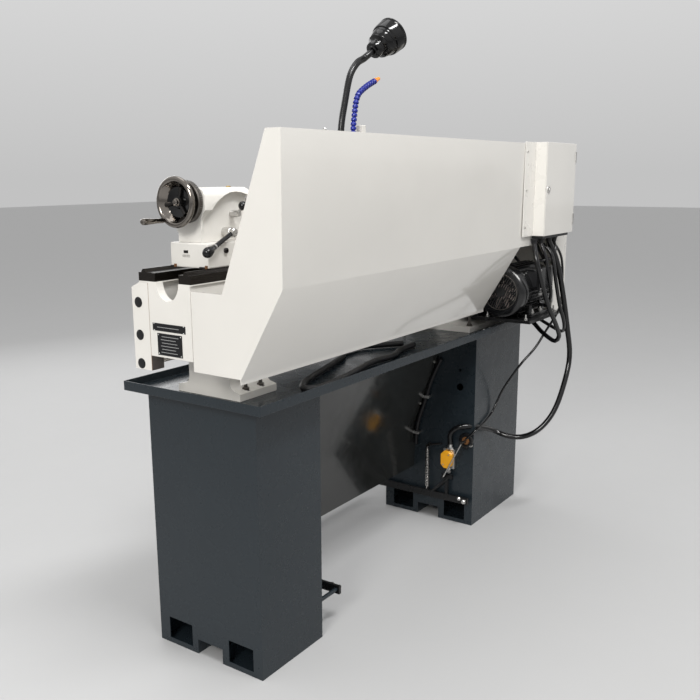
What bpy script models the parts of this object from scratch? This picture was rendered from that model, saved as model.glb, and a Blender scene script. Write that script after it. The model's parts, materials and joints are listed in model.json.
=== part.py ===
"""Engine lathe on a two-pedestal stand, with its splash guard, motor, electrical box and foot brake.

Metres, +Z up. +X runs from the headstock to the tailstock and +Y from the operator to the splash guard.
The origin lies on the floor, under the middle of the machine. One object is one separate piece.
"""

from math import atan2, cos, hypot, pi, radians, sin

import bmesh
import bpy
from mathutils import Matrix, Vector

# ---- Driving dimensions -------------------------------------------------------------------------------

GAP = 0.0003              # clearance between neighbouring pieces
RUNNING = 0.0006          # radial clearance round a turning shaft
SHEET = 0.003             # folded sheet of the stand
ROUND = 24                # facets of a round piece

SPINDLE_Y = -0.027        # centre line of the spindle and the tailstock quill
SPINDLE_Z = 1.177

TAIL_STAND_X = (0.482, 0.735)
HEAD_STAND_X = (-0.798, -0.426)
STAND_Y = (-0.212, 0.148)
STAND_TOP = 0.701
TRAY_X = (-0.836, 0.773)
TRAY_Y = (-0.259, 0.195)
TRAY_FLOOR = 0.706
TRAY_RIM = 0.726

BED_X = (-0.728, 0.830)
BED_Y = (-0.087, 0.048)
BED_Z = (0.822, 0.998)
FRONT_WAY_Y = (-0.116, -0.062)
REAR_WAY_Y = (0.014, 0.052)
WAY_TOP = 1.018
VEE_TOP = 1.026
SLIDE_Z = VEE_TOP + GAP   # underside of all that slides on the bed

HEADSTOCK_X = (-0.728, -0.345)
HEADSTOCK_Y = (-0.162, 0.118)
HEADSTOCK_TOP = 1.262
COVER_X = (-0.850, -0.7285)
COVER_Y = (-0.200, 0.293)
COVER_Z = (0.748, 1.295)

ROD_Y = -0.122            # leadscrew, feed rod and control rod run one below the other
LEADSCREW_Z = 0.946
FEED_ROD_Z = 0.868
CONTROL_ROD_Z = 0.799
ROD_X = (-0.3445, 0.7915)

SADDLE_X = (0.030, 0.330)
SADDLE_TOP = 1.062
TAILSTOCK_X = (0.590, 0.760)

MOTOR_Y = 0.233
MOTOR_Z = 0.852
MOTOR_X = (-0.690, -0.455)
MOTOR_RADIUS = 0.080
PULLEY_X = (-0.814, -0.790)
GEAR_X = (-0.756, -0.742)

PIVOT = (0.128, 0.095)    # y and z of the brake treadle's studs
STUD_RADIUS = 0.006
FAR_ARM_X = (-0.414, -0.404)
NEAR_ARM_X = (0.380, 0.390)
ARM_Z = (0.083, 0.107)

GUARD_X = (-0.487, 0.828)
GUARD_SHEET = 0.002
BOX_X = (-0.728, -0.470)
BOX_Y = (0.1185, 0.352)
BOX_Z = (1.036, 1.332)

FINISHES = {
    "cream_paint": ((0.78, 0.77, 0.73), 0.35, 0.0),
    "blue_grey_paint": ((0.045, 0.055, 0.065), 0.30, 0.0),
    "black_enamel": ((0.012, 0.012, 0.013), 0.35, 0.0),
    "ground_steel": ((0.38, 0.36, 0.34), 0.30, 1.0),
    "dark_steel": ((0.10, 0.095, 0.09), 0.35, 1.0),
    "chrome": ((0.60, 0.59, 0.57), 0.15, 1.0),
    "black_rubber": ((0.015, 0.015, 0.015), 0.60, 0.0),
    "yellow_plastic": ((0.90, 0.42, 0.02), 0.45, 0.0),
    "blue_plastic": ((0.02, 0.04, 0.40), 0.40, 0.0),
}

AXES = {"X": Vector((1, 0, 0)), "Y": Vector((0, 1, 0)), "Z": Vector((0, 0, 1))}

# ---- Modelling helpers --------------------------------------------------------------------------------


def clear_scene():
    for old in list(bpy.data.objects):
        bpy.data.objects.remove(old, do_unlink=True)


def new_collection(name):
    made = bpy.data.collections.new(name)
    bpy.context.scene.collection.children.link(made)
    return made


def mesh_object(name, bm):
    """A mesh object in world coordinates, its faces pointing out and its round sides shaded smooth."""
    bmesh.ops.recalc_face_normals(bm, faces=bm.faces)
    if bm.calc_volume(signed=True) < 0:
        bmesh.ops.reverse_faces(bm, faces=bm.faces)
    mesh = bpy.data.meshes.new(name)
    bm.to_mesh(mesh)
    bm.free()
    mesh.shade_smooth()
    mesh.set_sharp_from_angle(angle=radians(35))
    made = bpy.data.objects.new(name, mesh)
    PARTS.objects.link(made)
    return made


def block(name, x, y, z):
    """A box between two limits on each axis."""
    bm = bmesh.new()
    bmesh.ops.create_cube(bm, size=1.0)
    size = Vector((x[1] - x[0], y[1] - y[0], z[1] - z[0]))
    middle = Vector((x[1] + x[0], y[1] + y[0], z[1] + z[0])) / 2
    bm.transform(Matrix.Translation(middle) @ Matrix.Diagonal(size).to_4x4())
    return mesh_object(name, bm)


def rod(name, start, end, radius, end_radius=None, facets=ROUND):
    """A round bar, or a cone, between two points."""
    start, end = Vector(start), Vector(end)
    along = end - start
    bm = bmesh.new()
    last = radius if end_radius is None else end_radius
    bmesh.ops.create_cone(
        bm, cap_ends=True, segments=facets, radius1=radius, radius2=last, depth=along.length
    )
    turn = along.to_track_quat("Z", "Y").to_matrix().to_4x4()
    bm.transform(Matrix.Translation((start + end) / 2) @ turn)
    return mesh_object(name, bm)


def ball(name, centre, radius):
    bm = bmesh.new()
    bmesh.ops.create_uvsphere(bm, u_segments=12, v_segments=8, radius=radius)
    bm.transform(Matrix.Translation(centre))
    return mesh_object(name, bm)


def turned(name, profile, centre, axis, steps=ROUND, ring=False):
    """A turned piece: profile holds (radius, distance along axis) and starts and ends on the axis,
    unless ring closes it on itself."""
    bm = bmesh.new()
    points = [bm.verts.new((radius, 0.0, along)) for radius, along in profile]
    for first, second in zip(points, points[1:]):
        bm.edges.new((first, second))
    if ring:
        bm.edges.new((points[-1], points[0]))
    bmesh.ops.spin(
        bm, geom=bm.verts[:] + bm.edges[:], cent=(0, 0, 0), axis=(0, 0, 1), angle=2 * pi, steps=steps
    )
    bmesh.ops.remove_doubles(bm, verts=bm.verts, dist=0.00002)
    turn = Vector(axis).to_track_quat("Z", "Y").to_matrix().to_4x4()
    bm.transform(Matrix.Translation(centre) @ turn)
    return mesh_object(name, bm)


def prism(name, outline, axis, low, high):
    """A flat outline pushed along an axis. The outline's two numbers are the other two coordinates, in
    X, Y, Z order."""
    place = {
        "X": lambda a, b: (low, a, b),
        "Y": lambda a, b: (a, low, b),
        "Z": lambda a, b: (a, b, low),
    }[axis]
    bm = bmesh.new()
    face = bm.faces.new([bm.verts.new(place(a, b)) for a, b in outline])
    pushed = bmesh.ops.extrude_face_region(bm, geom=[face])["geom"]
    moved = [item for item in pushed if isinstance(item, bmesh.types.BMVert)]
    bmesh.ops.translate(bm, vec=AXES[axis] * (high - low), verts=moved)
    return mesh_object(name, bm)


def folded(name, line, thickness, low, high):
    """A folded sheet: an open line of (y, z) points given a thickness to its left, along X."""
    normals = []
    for (y0, z0), (y1, z1) in zip(line, line[1:]):
        length = hypot(y1 - y0, z1 - z0)
        normals.append(Vector((-(z1 - z0) / length, (y1 - y0) / length)))
    other = []
    for i, point in enumerate(line):
        before = normals[max(i - 1, 0)]
        after = normals[min(i, len(normals) - 1)]
        middle = (before + after).normalized()
        other.append(Vector(point) + middle * (thickness / middle.dot(after)))
    return prism(name, [*line, *[tuple(p) for p in reversed(other)]], "X", low, high)


def wire(name, points, radius, smooth=True, resolution=3):
    """A bent bar or tube along a line of points."""
    curve = bpy.data.curves.new(name, "CURVE")
    curve.dimensions = "3D"
    curve.bevel_depth = radius
    curve.bevel_resolution = 2
    curve.use_fill_caps = True
    curve.resolution_u = resolution
    spline = curve.splines.new("NURBS" if smooth else "POLY")
    spline.points.add(len(points) - 1)
    for slot, point in zip(spline.points, points):
        slot.co = (*point, 1)
    if smooth:
        spline.order_u = 4
        spline.use_endpoint_u = True
    drawn = bpy.data.objects.new(name + "_line", curve)
    PARTS.objects.link(drawn)
    bpy.context.view_layer.update()
    evaluated = drawn.evaluated_get(bpy.context.evaluated_depsgraph_get())
    mesh = bpy.data.meshes.new_from_object(evaluated)
    bpy.data.objects.remove(drawn, do_unlink=True)
    bm = bmesh.new()
    bm.from_mesh(mesh)
    bmesh.ops.remove_doubles(bm, verts=bm.verts, dist=0.00002)
    return mesh_object(name, bm)


def boolean(target, operation, tools):
    for tool in tools:
        step = target.modifiers.new(operation.title(), "BOOLEAN")
        step.operation = operation
        step.solver = "EXACT"
        step.object = tool
        tool.hide_render = True
        tool.display_type = "WIRE"
        PARTS.objects.unlink(tool)
        CUTTERS.objects.link(tool)
    return target


def cut(target, *tools):
    return boolean(target, "DIFFERENCE", tools)


def join(target, *tools):
    return boolean(target, "UNION", tools)


def bevel(target, width, segments=2):
    step = target.modifiers.new("Rounded edges", "BEVEL")
    step.width = width
    step.segments = segments
    step.limit_method = "ANGLE"
    step.angle_limit = radians(40)
    return target


def finish(piece, name, pivot=None, parent=None):
    """Gives the piece its own material, and puts its origin on its joint's axis under its parent."""
    colour, roughness, metallic = FINISHES[name]
    material = bpy.data.materials.new(f"{piece.name}_{name}")
    material.use_nodes = True
    shader = material.node_tree.nodes["Principled BSDF"]
    shader.inputs["Base Color"].default_value = (*colour, 1)
    shader.inputs["Roughness"].default_value = roughness
    shader.inputs["Metallic"].default_value = metallic
    piece.data.materials.append(material)
    if pivot is not None:
        piece.data.transform(Matrix.Translation(-Vector(pivot)))
        piece.location = pivot
    if parent is not None:
        piece.parent = parent
        bpy.context.view_layer.update()
        piece.matrix_parent_inverse = parent.matrix_world.inverted()
    return piece


def arc(centre, radius, start, end, count, squash=1.0):
    """Points on an arc, with angles in degrees. squash scales the second coordinate."""
    return [
        (
            centre[0] + radius * cos(radians(start + (end - start) * i / count)),
            centre[1] + radius * squash * sin(radians(start + (end - start) * i / count)),
        )
        for i in range(count + 1)
    ]


# ---- Stand --------------------------------------------------------------------------------------------

FOOT_PLATE = 0.004
CHANNEL_Y = (-0.073, 0.013)
CHANNEL_TOP = 0.041
WINDOWS_Y = ((-0.177, -0.093), (0.036, 0.118))
WINDOW_Z = (0.014, 0.075)
OVERRUN = 0.010           # how far a cutter runs past the face that it opens


def pedestal(name, x):
    """A hollow sheet pedestal on two feet, with lifting windows in them and a channel between them."""
    inside_x = (x[0] + SHEET, x[1] - SHEET)
    through_x = (x[0] - OVERRUN, x[1] + OVERRUN)
    inside_y = (STAND_Y[0] + SHEET, STAND_Y[1] - SHEET)
    shell = block(name, x, STAND_Y, (0, STAND_TOP))
    inside = block(f"{name}_inside", inside_x, inside_y, (CHANNEL_TOP + SHEET, STAND_TOP - SHEET))
    channel = block(f"{name}_channel", through_x, CHANNEL_Y, (-OVERRUN, CHANNEL_TOP))
    cut(shell, inside, channel)
    feet_y = ((inside_y[0], CHANNEL_Y[0] - SHEET), (CHANNEL_Y[1] + SHEET, inside_y[1]))
    for i, (foot_y, window_y) in enumerate(zip(feet_y, WINDOWS_Y)):
        foot_z = (FOOT_PLATE, CHANNEL_TOP + 2 * SHEET)
        hollow = block(f"{name}_foot_{i}", inside_x, foot_y, foot_z)
        window = block(f"{name}_window_{i}", through_x, window_y, WINDOW_Z)
        cut(shell, hollow, window)
    return shell


def stand():
    tail = pedestal("tail_pedestal", TAIL_STAND_X)
    start, end = (NEAR_ARM_X[0] - 0.004, *PIVOT), (TAIL_STAND_X[0] + 0.001, *PIVOT)
    join(tail, rod("tail_pedestal_stud", start, end, STUD_RADIUS))
    finish(tail, "blue_grey_paint")

    head = pedestal("head_pedestal", HEAD_STAND_X)
    face = HEAD_STAND_X[1]
    for name, radius, height in (("small", 0.005, 0.566), ("large", 0.013, 0.505)):
        start, end = (face - OVERRUN, 0.089, height), (face + OVERRUN, 0.089, height)
        cut(head, rod(f"head_pedestal_{name}_hole", start, end, radius, facets=20))
    start, end = (face - 0.001, *PIVOT), (FAR_ARM_X[1] + 0.004, *PIVOT)
    join(head, rod("head_pedestal_stud", start, end, STUD_RADIUS))
    finish(head, "blue_grey_paint")

    # The panel between the pedestals leans forward, hangs straight, and ends in a turned-in flange.
    line = [(0.036, 0.700), (-0.089, 0.348), (-0.093, 0.185), (-0.118, 0.185)]
    between = (HEAD_STAND_X[1] + GAP, TAIL_STAND_X[0] - GAP)
    finish(folded("stand_panel", line, SHEET, *between), "blue_grey_paint")

    tray = block("chip_tray", TRAY_X, TRAY_Y, (STAND_TOP + GAP, TRAY_RIM))
    inside_x = (TRAY_X[0] + SHEET, TRAY_X[1] - SHEET)
    inside_y = (TRAY_Y[0] + SHEET, TRAY_Y[1] - SHEET)
    cut(tray, block("tray_inside", inside_x, inside_y, (TRAY_FLOOR, TRAY_RIM + OVERRUN)))
    finish(tray, "blue_grey_paint")


# ---- Bed ----------------------------------------------------------------------------------------------

WALL = 0.016
RIB_X = (-0.330, -0.050, 0.230, 0.510)


def way_outline(y, vee_at):
    """Section of one way: a flat top with a raised vee."""
    half = VEE_TOP - WAY_TOP
    return [
        (y[0], BED_Z[1] - 0.003), (y[1], BED_Z[1] - 0.003), (y[1], WAY_TOP), (vee_at + half, WAY_TOP),
        (vee_at + 0.0012, VEE_TOP), (vee_at - 0.0012, VEE_TOP), (vee_at - half, WAY_TOP), (y[0], WAY_TOP),
    ]


def foot(name, x, y):
    """A cast foot: a thick flange, and a neck that swells into it."""
    neck = prism(
        name,
        [
            (y[0], TRAY_FLOOR + GAP), (y[1], TRAY_FLOOR + GAP), (y[1], TRAY_FLOOR + 0.018),
            *[(BED_Y[1] + 0.020 - a, TRAY_FLOOR + 0.042 - b)
              for a, b in arc((0, 0), 0.020, 90, 0, 4)],
            (BED_Y[1] - 0.0005, BED_Z[0] + 0.010), (BED_Y[0] + 0.0005, BED_Z[0] + 0.010),
            *[(BED_Y[0] - 0.020 + a, TRAY_FLOOR + 0.042 - b)
              for a, b in arc((0, 0), 0.020, 0, 90, 4)],
            (y[0], TRAY_FLOOR + 0.018),
        ],
        "X", x[0], x[1],
    )
    return neck


def bed():
    front = block("bed", BED_X, (BED_Y[0], BED_Y[0] + WALL), BED_Z)
    pieces = [
        block("bed_rear_wall", BED_X, (BED_Y[1] - WALL, BED_Y[1]), BED_Z),
        prism("bed_front_way", way_outline(FRONT_WAY_Y, -0.100), "X", *BED_X),
        prism("bed_rear_way", way_outline(REAR_WAY_Y, 0.036), "X", *BED_X),
    ]
    inner_y = (BED_Y[0] + 0.004, BED_Y[1] - 0.004)
    for i, x in enumerate(RIB_X):
        pieces.append(block(f"bed_rib_{i}", (x, x + 0.014), inner_y, (BED_Z[0] + 0.004, 0.985)))
    tail_wall = block("bed_tail_wall", (BED_X[1] - 0.022, BED_X[1]), inner_y, (BED_Z[0], 0.997))
    head_wall = block("bed_head_wall", (BED_X[0], BED_X[0] + 0.022), inner_y, (BED_Z[0], 0.997))
    pieces += [tail_wall, head_wall]
    pieces.append(foot("bed_tail_foot", (0.573, 0.710), (-0.126, 0.080)))
    pieces.append(foot("bed_head_foot", (-0.700, -0.400), (-0.160, 0.133)))
    join(front, *pieces)
    # The end wall dips in a half round between the ways.
    middle_y = (FRONT_WAY_Y[1] + REAR_WAY_Y[0]) / 2
    reach = (BED_X[1] - 0.030, BED_X[1] + OVERRUN)
    dip = prism("bed_dip", arc((middle_y, 0.999), 0.036, 0, -180, 14, squash=1.25), "X", *reach)
    cut(front, dip)
    finish(front, "cream_paint")

    y, z, chamfer = (-0.143, BED_Y[0] - GAP), (0.785, 0.9945), 0.014
    outline = [(y[0], z[0]), (y[1], z[0]), (y[1], z[1]), (y[0] + 2 * chamfer, z[1]), (y[0], z[1] - chamfer)]
    bracket = prism("leadscrew_bracket", outline, "X", 0.792, BED_X[1])
    for height in (LEADSCREW_Z, FEED_ROD_Z, CONTROL_ROD_Z):
        start, end = (0.780, ROD_Y, height), (0.840, ROD_Y, height)
        cut(bracket, rod(f"bracket_bore_{height}", start, end, 0.0095, facets=24))
    finish(bracket, "cream_paint")


# ---- Gears, pulleys and shafts ------------------------------------------------------------------------


def gear_outline(centre, module, teeth, phase):
    """Tapered teeth, slim enough to run free in the next gear. phase is the angle of one tooth."""
    pitch_radius = module * teeth / 2
    step = 2 * pi / teeth
    corners = ((-0.27, -1.15), (-0.10, 0.85), (0.10, 0.85), (0.27, -1.15))
    points = []
    for tooth in range(teeth):
        for share, height in corners:
            angle = phase + (tooth + share) * step
            radius = pitch_radius + height * module
            points.append((centre[0] + radius * cos(angle), centre[1] + radius * sin(angle)))
    return points


def gear(name, centre, module, teeth, phase, x, bore):
    made = prism(name, gear_outline(centre, module, teeth, phase), "X", *x)
    ends = (x[0] - OVERRUN, *centre), (x[1] + OVERRUN, *centre)
    return cut(made, rod(f"{name}_bore", *ends, bore, facets=24))


def meshing_phase(centre, teeth, phase, other_centre, other_teeth):
    """Phase that puts the other gear's tooth in this gear's gap where they meet."""
    towards = atan2(other_centre[1] - centre[1], other_centre[0] - centre[0])
    here = (teeth * (towards - phase)) % (2 * pi)
    return towards + pi - (pi - here) / other_teeth


def pulley(name, centre, radius, bore):
    """A one-groove vee pulley across PULLEY_X."""
    width = PULLEY_X[1] - PULLEY_X[0]
    profile = [
        (bore, 0), (radius, 0), (radius, 0.0035), (radius - 0.012, 0.0065),
        (radius - 0.012, width - 0.0065), (radius, width - 0.0035), (radius, width), (bore, width),
    ]
    return turned(name, profile, (PULLEY_X[0], *centre), (1, 0, 0), ring=True)


def belt_outline(first, first_radius, second, second_radius, count=10):
    """The outline of a belt round two pulleys, from the two outside tangents."""
    towards = atan2(second[1] - first[1], second[0] - first[0])
    span = hypot(second[0] - first[0], second[1] - first[1])
    lean = pi / 2 - atan2(first_radius - second_radius, span)
    points = []
    for centre, radius, start, end in (
        (first, first_radius, towards + lean, towards + 2 * pi - lean),
        (second, second_radius, towards - lean, towards + lean),
    ):
        for i in range(count + 1):
            angle = start + (end - start) * i / count
            points.append((centre[0] + radius * cos(angle), centre[1] + radius * sin(angle)))
    return points


SPINDLE = (SPINDLE_Y, SPINDLE_Z)
MODULE = 0.005            # headstock gears
BULL_TEETH, PINION_TEETH = 28, 14
GEAR_SPAN = MODULE * (BULL_TEETH + PINION_TEETH) / 2 + 0.0006
INPUT = (SPINDLE_Y + GEAR_SPAN * cos(radians(45)), SPINDLE_Z - GEAR_SPAN * sin(radians(45)))
INPUT_PULLEY_RADIUS = 0.072
MOTOR_PULLEY_RADIUS = 0.038

TRAIN_MODULE = 0.003      # change gears outside the headstock
STUD_TEETH, IDLER_TEETH, FEED_TEETH = 24, 62, 30
FEED_INPUT = (-0.138, 0.945)


def idler_centre():
    """Where the idler meets both the stud gear and the feed gear, on the splash guard's side."""
    reach_stud = TRAIN_MODULE * (STUD_TEETH + IDLER_TEETH) / 2 + 0.0004
    reach_feed = TRAIN_MODULE * (FEED_TEETH + IDLER_TEETH) / 2 + 0.0004
    along = Vector(FEED_INPUT) - Vector(SPINDLE)
    share = (along.length_squared + reach_stud**2 - reach_feed**2) / (2 * along.length)
    aside = (reach_stud**2 - share**2) ** 0.5
    unit = along.normalized()
    return tuple(Vector(SPINDLE) + unit * share + Vector((-unit.y, unit.x)) * aside)


# ---- Headstock ----------------------------------------------------------------------------------------

END_WALL = 0.016
FRONT_BEARING = (0.0335, 0.0480)  # inner and outer radius
REAR_BEARING = (0.0245, 0.0380)
CHUCK_X = (-0.318, -0.245)
CHUCK_RADIUS = 0.080


def headstock():
    casting = block("headstock", HEADSTOCK_X, HEADSTOCK_Y, (SLIDE_Z, HEADSTOCK_TOP))
    inside_x = (HEADSTOCK_X[0] + END_WALL, HEADSTOCK_X[1] - END_WALL)
    inside_y = (HEADSTOCK_Y[0] + 0.014, HEADSTOCK_Y[1] - 0.014)
    inside = block("headstock_inside", inside_x, inside_y, (1.042, HEADSTOCK_TOP + OVERRUN))
    ends = (HEADSTOCK_X[0] - OVERRUN, HEADSTOCK_X[0] + 0.030), (HEADSTOCK_X[1] - 0.030, HEADSTOCK_X[1] + 0.01)
    seat = 0.0004
    rear = rod("headstock_rear_bore", (ends[0][0], *SPINDLE), (ends[0][1], *SPINDLE), REAR_BEARING[1] + seat)
    nose = rod("headstock_nose_bore", (ends[1][0], *SPINDLE), (ends[1][1], *SPINDLE), FRONT_BEARING[1] + seat)
    shaft = rod("headstock_input_bore", (ends[0][0], *INPUT), (ends[0][1], *INPUT), 0.0135)
    cut(casting, inside, rear, nose, shaft)
    finish(casting, "cream_paint")

    lid = block("headstock_lid", HEADSTOCK_X, HEADSTOCK_Y, (HEADSTOCK_TOP + GAP, 1.290))
    finish(bevel(lid, 0.010, 3), "cream_paint")

    for name, radii, x in (
        ("rear_bearing", REAR_BEARING, HEADSTOCK_X[0]),
        ("front_bearing", FRONT_BEARING, HEADSTOCK_X[1] - END_WALL),
    ):
        inner, outer = radii
        profile = [(inner, 0.0005), (outer, 0.0005), (outer, END_WALL - 0.0005), (inner, END_WALL - 0.0005)]
        finish(turned(name, profile, (x, *SPINDLE), (1, 0, 0), ring=True), "ground_steel")

    start = -0.775
    front, rear = FRONT_BEARING[0] - RUNNING, REAR_BEARING[0] - RUNNING
    profile = [
        (0.0190, 0), (rear - 0.003, 0), (rear - 0.003, 0.036), (rear, 0.036), (rear, 0.090),
        (0.0300, 0.090), (0.0300, 0.405), (front, 0.405), (front, 0.436), (0.0520, 0.436),
        (0.0520, 0.4565), (0.0190, 0.4565),
    ]
    spindle = turned("spindle", profile, (start, *SPINDLE), (1, 0, 0), ring=True)
    finish(spindle, "ground_steel", pivot=(start, *SPINDLE))

    bull = gear("spindle_gear", SPINDLE, MODULE, BULL_TEETH, 0.0, (-0.520, -0.495), 0.0304)
    finish(bull, "dark_steel", pivot=(-0.520, *SPINDLE), parent=spindle)

    phase = meshing_phase(SPINDLE, BULL_TEETH, 0.0, INPUT, PINION_TEETH)
    shaft = prism("input_shaft", gear_outline(INPUT, MODULE, PINION_TEETH, phase), "X", -0.522, -0.493)
    bar = rod("input_shaft_bar", (-0.820, *INPUT), (-0.400, *INPUT), 0.012)
    join(shaft, bar, pulley("input_pulley", INPUT, INPUT_PULLEY_RADIUS, 0.011))
    finish(shaft, "dark_steel", pivot=(-0.520, *INPUT))

    stud = gear("stud_gear", SPINDLE, TRAIN_MODULE, STUD_TEETH, 0.0, GEAR_X, rear - 0.0026)
    finish(stud, "dark_steel", pivot=(GEAR_X[0], *SPINDLE), parent=spindle)
    centre = idler_centre()
    phase = meshing_phase(SPINDLE, STUD_TEETH, 0.0, centre, IDLER_TEETH)
    idler = gear("idler_gear", centre, TRAIN_MODULE, IDLER_TEETH, phase, GEAR_X, 0.0095)
    finish(idler, "dark_steel", pivot=(GEAR_X[0], *centre))
    phase = meshing_phase(centre, IDLER_TEETH, phase, FEED_INPUT, FEED_TEETH)
    feed = gear("feed_gear", FEED_INPUT, TRAIN_MODULE, FEED_TEETH, phase, GEAR_X, 0.009)
    finish(feed, "dark_steel", pivot=(GEAR_X[0], *FEED_INPUT))


def chuck():
    length = CHUCK_X[1] - CHUCK_X[0]
    profile = [
        (0.024, 0), (CHUCK_RADIUS - 0.003, 0), (CHUCK_RADIUS, 0.003), (CHUCK_RADIUS, length - 0.003),
        (CHUCK_RADIUS - 0.003, length), (0.024, length),
    ]
    body = turned("chuck_body", profile, (CHUCK_X[0], *SPINDLE), (1, 0, 0), steps=36, ring=True)
    slot = 0.0084
    for i in range(3):
        turn = Matrix.Translation((0, *SPINDLE)) @ Matrix.Rotation(radians(90 + 120 * i), 4, "X")
        depth = (CHUCK_X[1] - 0.020, CHUCK_X[1] + OVERRUN)
        groove = block(f"chuck_groove_{i}", depth, (0.010, 0.1), (-slot, slot))
        groove.data.transform(turn)
        cut(body, groove)
    finish(body, "ground_steel", pivot=(CHUCK_X[0], *SPINDLE))

    wide, face = slot - 0.0005, CHUCK_X[1]
    for i in range(3):
        turn = Matrix.Translation((0, *SPINDLE)) @ Matrix.Rotation(radians(90 + 120 * i), 4, "X")
        steps = [
            (face - 0.0195, 0.030), (face - 0.0195, 0.074), (face + 0.010, 0.074), (face + 0.010, 0.058),
            (face + 0.018, 0.058), (face + 0.018, 0.044), (face + 0.026, 0.044), (face + 0.026, 0.030),
        ]
        jaw = prism(f"chuck_jaw_{i + 1}", steps, "Z", -wide, wide)
        jaw.data.transform(turn)
        finish(jaw, "dark_steel", pivot=(face, *SPINDLE), parent=body)


def headstock_controls():
    front = HEADSTOCK_Y[0]
    x, z = -0.440, 1.130
    tip = (x, front - 0.026, z + 0.080)
    hub = rod("speed_lever", (x, front - GAP, z), (x, front - 0.020, z), 0.020)
    arm = rod("speed_lever_arm", (x, front - 0.013, z), tip, 0.0055, facets=14)
    join(hub, arm, ball("speed_lever_ball", tip, 0.013))
    finish(hub, "chrome", pivot=(x, front, z))

    x, y, z = (-0.7275, -0.345), (-0.214, BED_Y[0] - GAP), (0.782, 0.994)
    gearbox = block("feed_gearbox", x, y, z)
    for i, height in enumerate((LEADSCREW_Z, FEED_ROD_Z, CONTROL_ROD_Z)):
        start, end = (-0.360, ROD_Y, height), (-0.330, ROD_Y, height)
        cut(gearbox, rod(f"gearbox_socket_{i}", start, end, 0.0095))
    finish(gearbox, "cream_paint")

    at = -0.560
    tip = (at, y[0] - 0.030, 0.855)
    hub = rod("feed_selector", (at, y[0] - GAP, 0.905), (at, y[0] - 0.022, 0.905), 0.018)
    arm = rod("feed_selector_arm", (at, y[0] - 0.015, 0.905), tip, 0.005, facets=14)
    join(hub, arm, ball("feed_selector_ball", tip, 0.011))
    finish(hub, "chrome", pivot=(at, y[0], 0.905))


def end_cover():
    """A folded cover over the belt and the change gears, open towards the headstock."""
    wall = 0.0025
    spare = 0.020
    cover = block("end_cover", (COVER_X[0], COVER_X[1] + spare), COVER_Y, COVER_Z)
    bevel(cover, 0.004, 2)
    inside = block(
        "end_cover_inside", (COVER_X[0] + wall, COVER_X[1] + 2 * spare),
        (COVER_Y[0] + wall, COVER_Y[1] - wall), (COVER_Z[0] + wall, COVER_Z[1] - wall),
    )
    wide_y = (COVER_Y[0] - OVERRUN, COVER_Y[1] + OVERRUN)
    wide_z = (COVER_Z[0] - OVERRUN, COVER_Z[1] + OVERRUN)
    trim = block("end_cover_trim", (COVER_X[1], COVER_X[1] + 2 * spare), wide_y, wide_z)
    cut(cover, inside, trim)
    finish(cover, "cream_paint", pivot=(COVER_X[1], COVER_Y[1], COVER_Z[0]))


# ---- Motor and belt -----------------------------------------------------------------------------------


def motor():
    centre = (MOTOR_Y, MOTOR_Z)
    body = rod("motor_body", (MOTOR_X[0], *centre), (MOTOR_X[1], *centre), MOTOR_RADIUS, facets=36)
    fins = []
    for i in range(12):
        angle = radians(30 * i + 15)
        length = (MOTOR_X[0] + 0.030, MOTOR_X[1] - 0.010)
        fin = block(f"motor_fin_{i}", length, (-0.002, 0.002), (0.060, 0.087))
        fin.data.transform(Matrix.Translation((0, *centre)) @ Matrix.Rotation(angle, 4, "X"))
        fins.append(fin)
    foot_z = (MOTOR_Z - 0.090, MOTOR_Z - 0.060)
    feet = []
    for side in (-1, 1):
        foot_y = MOTOR_Y + side * 0.062
        feet.append(block(f"motor_foot_{side}", (-0.640, -0.500), (foot_y - 0.016, foot_y + 0.016), foot_z))
    terminal = block("motor_terminals", (-0.620, -0.520), (MOTOR_Y + 0.030, MOTOR_Y + 0.100), (0.838, 0.925))
    join(body, *fins, *feet, terminal)
    bore = rod("motor_bore", (MOTOR_X[0] - OVERRUN, *centre), (MOTOR_X[0] + 0.050, *centre), 0.0125)
    finish(cut(body, bore), "black_enamel")

    length = 0.040
    profile = [
        (0, 0), (0.086, 0), (0.086, length - 0.012), (0.076, length), (0, length),
    ]
    cowl = turned("motor_fan_cowl", profile, (MOTOR_X[1] + GAP, *centre), (1, 0, 0), steps=36)
    finish(cowl, "black_enamel")

    plate = block("motor_mount", (-0.700, -0.430), (0.120, 0.335), (0.7505, MOTOR_Z - 0.090 - GAP))
    web = block("motor_mount_web", (-0.660, -0.470), (BED_Y[1] + GAP, 0.130), (0.7505, 0.800))
    finish(join(plate, web), "black_enamel")

    rotor = pulley("motor_pulley", centre, MOTOR_PULLEY_RADIUS, 0.011)
    shaft = rod("motor_pulley_shaft", (-0.818, *centre), (MOTOR_X[0] + 0.045, *centre), 0.0116)
    finish(join(rotor, shaft), "dark_steel", pivot=(PULLEY_X[0], *centre))

    middle = (PULLEY_X[0] + PULLEY_X[1]) / 2
    radii = (INPUT_PULLEY_RADIUS, MOTOR_PULLEY_RADIUS)
    outer = belt_outline(INPUT, radii[0] - 0.001, centre, radii[1] - 0.001)
    inner = belt_outline(INPUT, radii[0] - 0.009, centre, radii[1] - 0.009)
    belt = prism("drive_belt", outer, "X", middle - 0.0045, middle + 0.0045)
    cut(belt, prism("drive_belt_inside", inner, "X", middle - OVERRUN, middle + OVERRUN))
    finish(belt, "black_rubber")


# ---- Rods, carriage and its controls ------------------------------------------------------------------

SADDLE_Y = (-0.205, 0.098)
APRON_X = (0.050, 0.300)
APRON_Y = (-0.203, -0.146)
APRON_Z = (0.775, SLIDE_Z - 0.002)
CROSS_X = (0.105, 0.245)
CROSS_TOP = 1.092
TOOL_X, TOOL_Y = 0.160, SPINDLE_Y - 0.055


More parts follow.
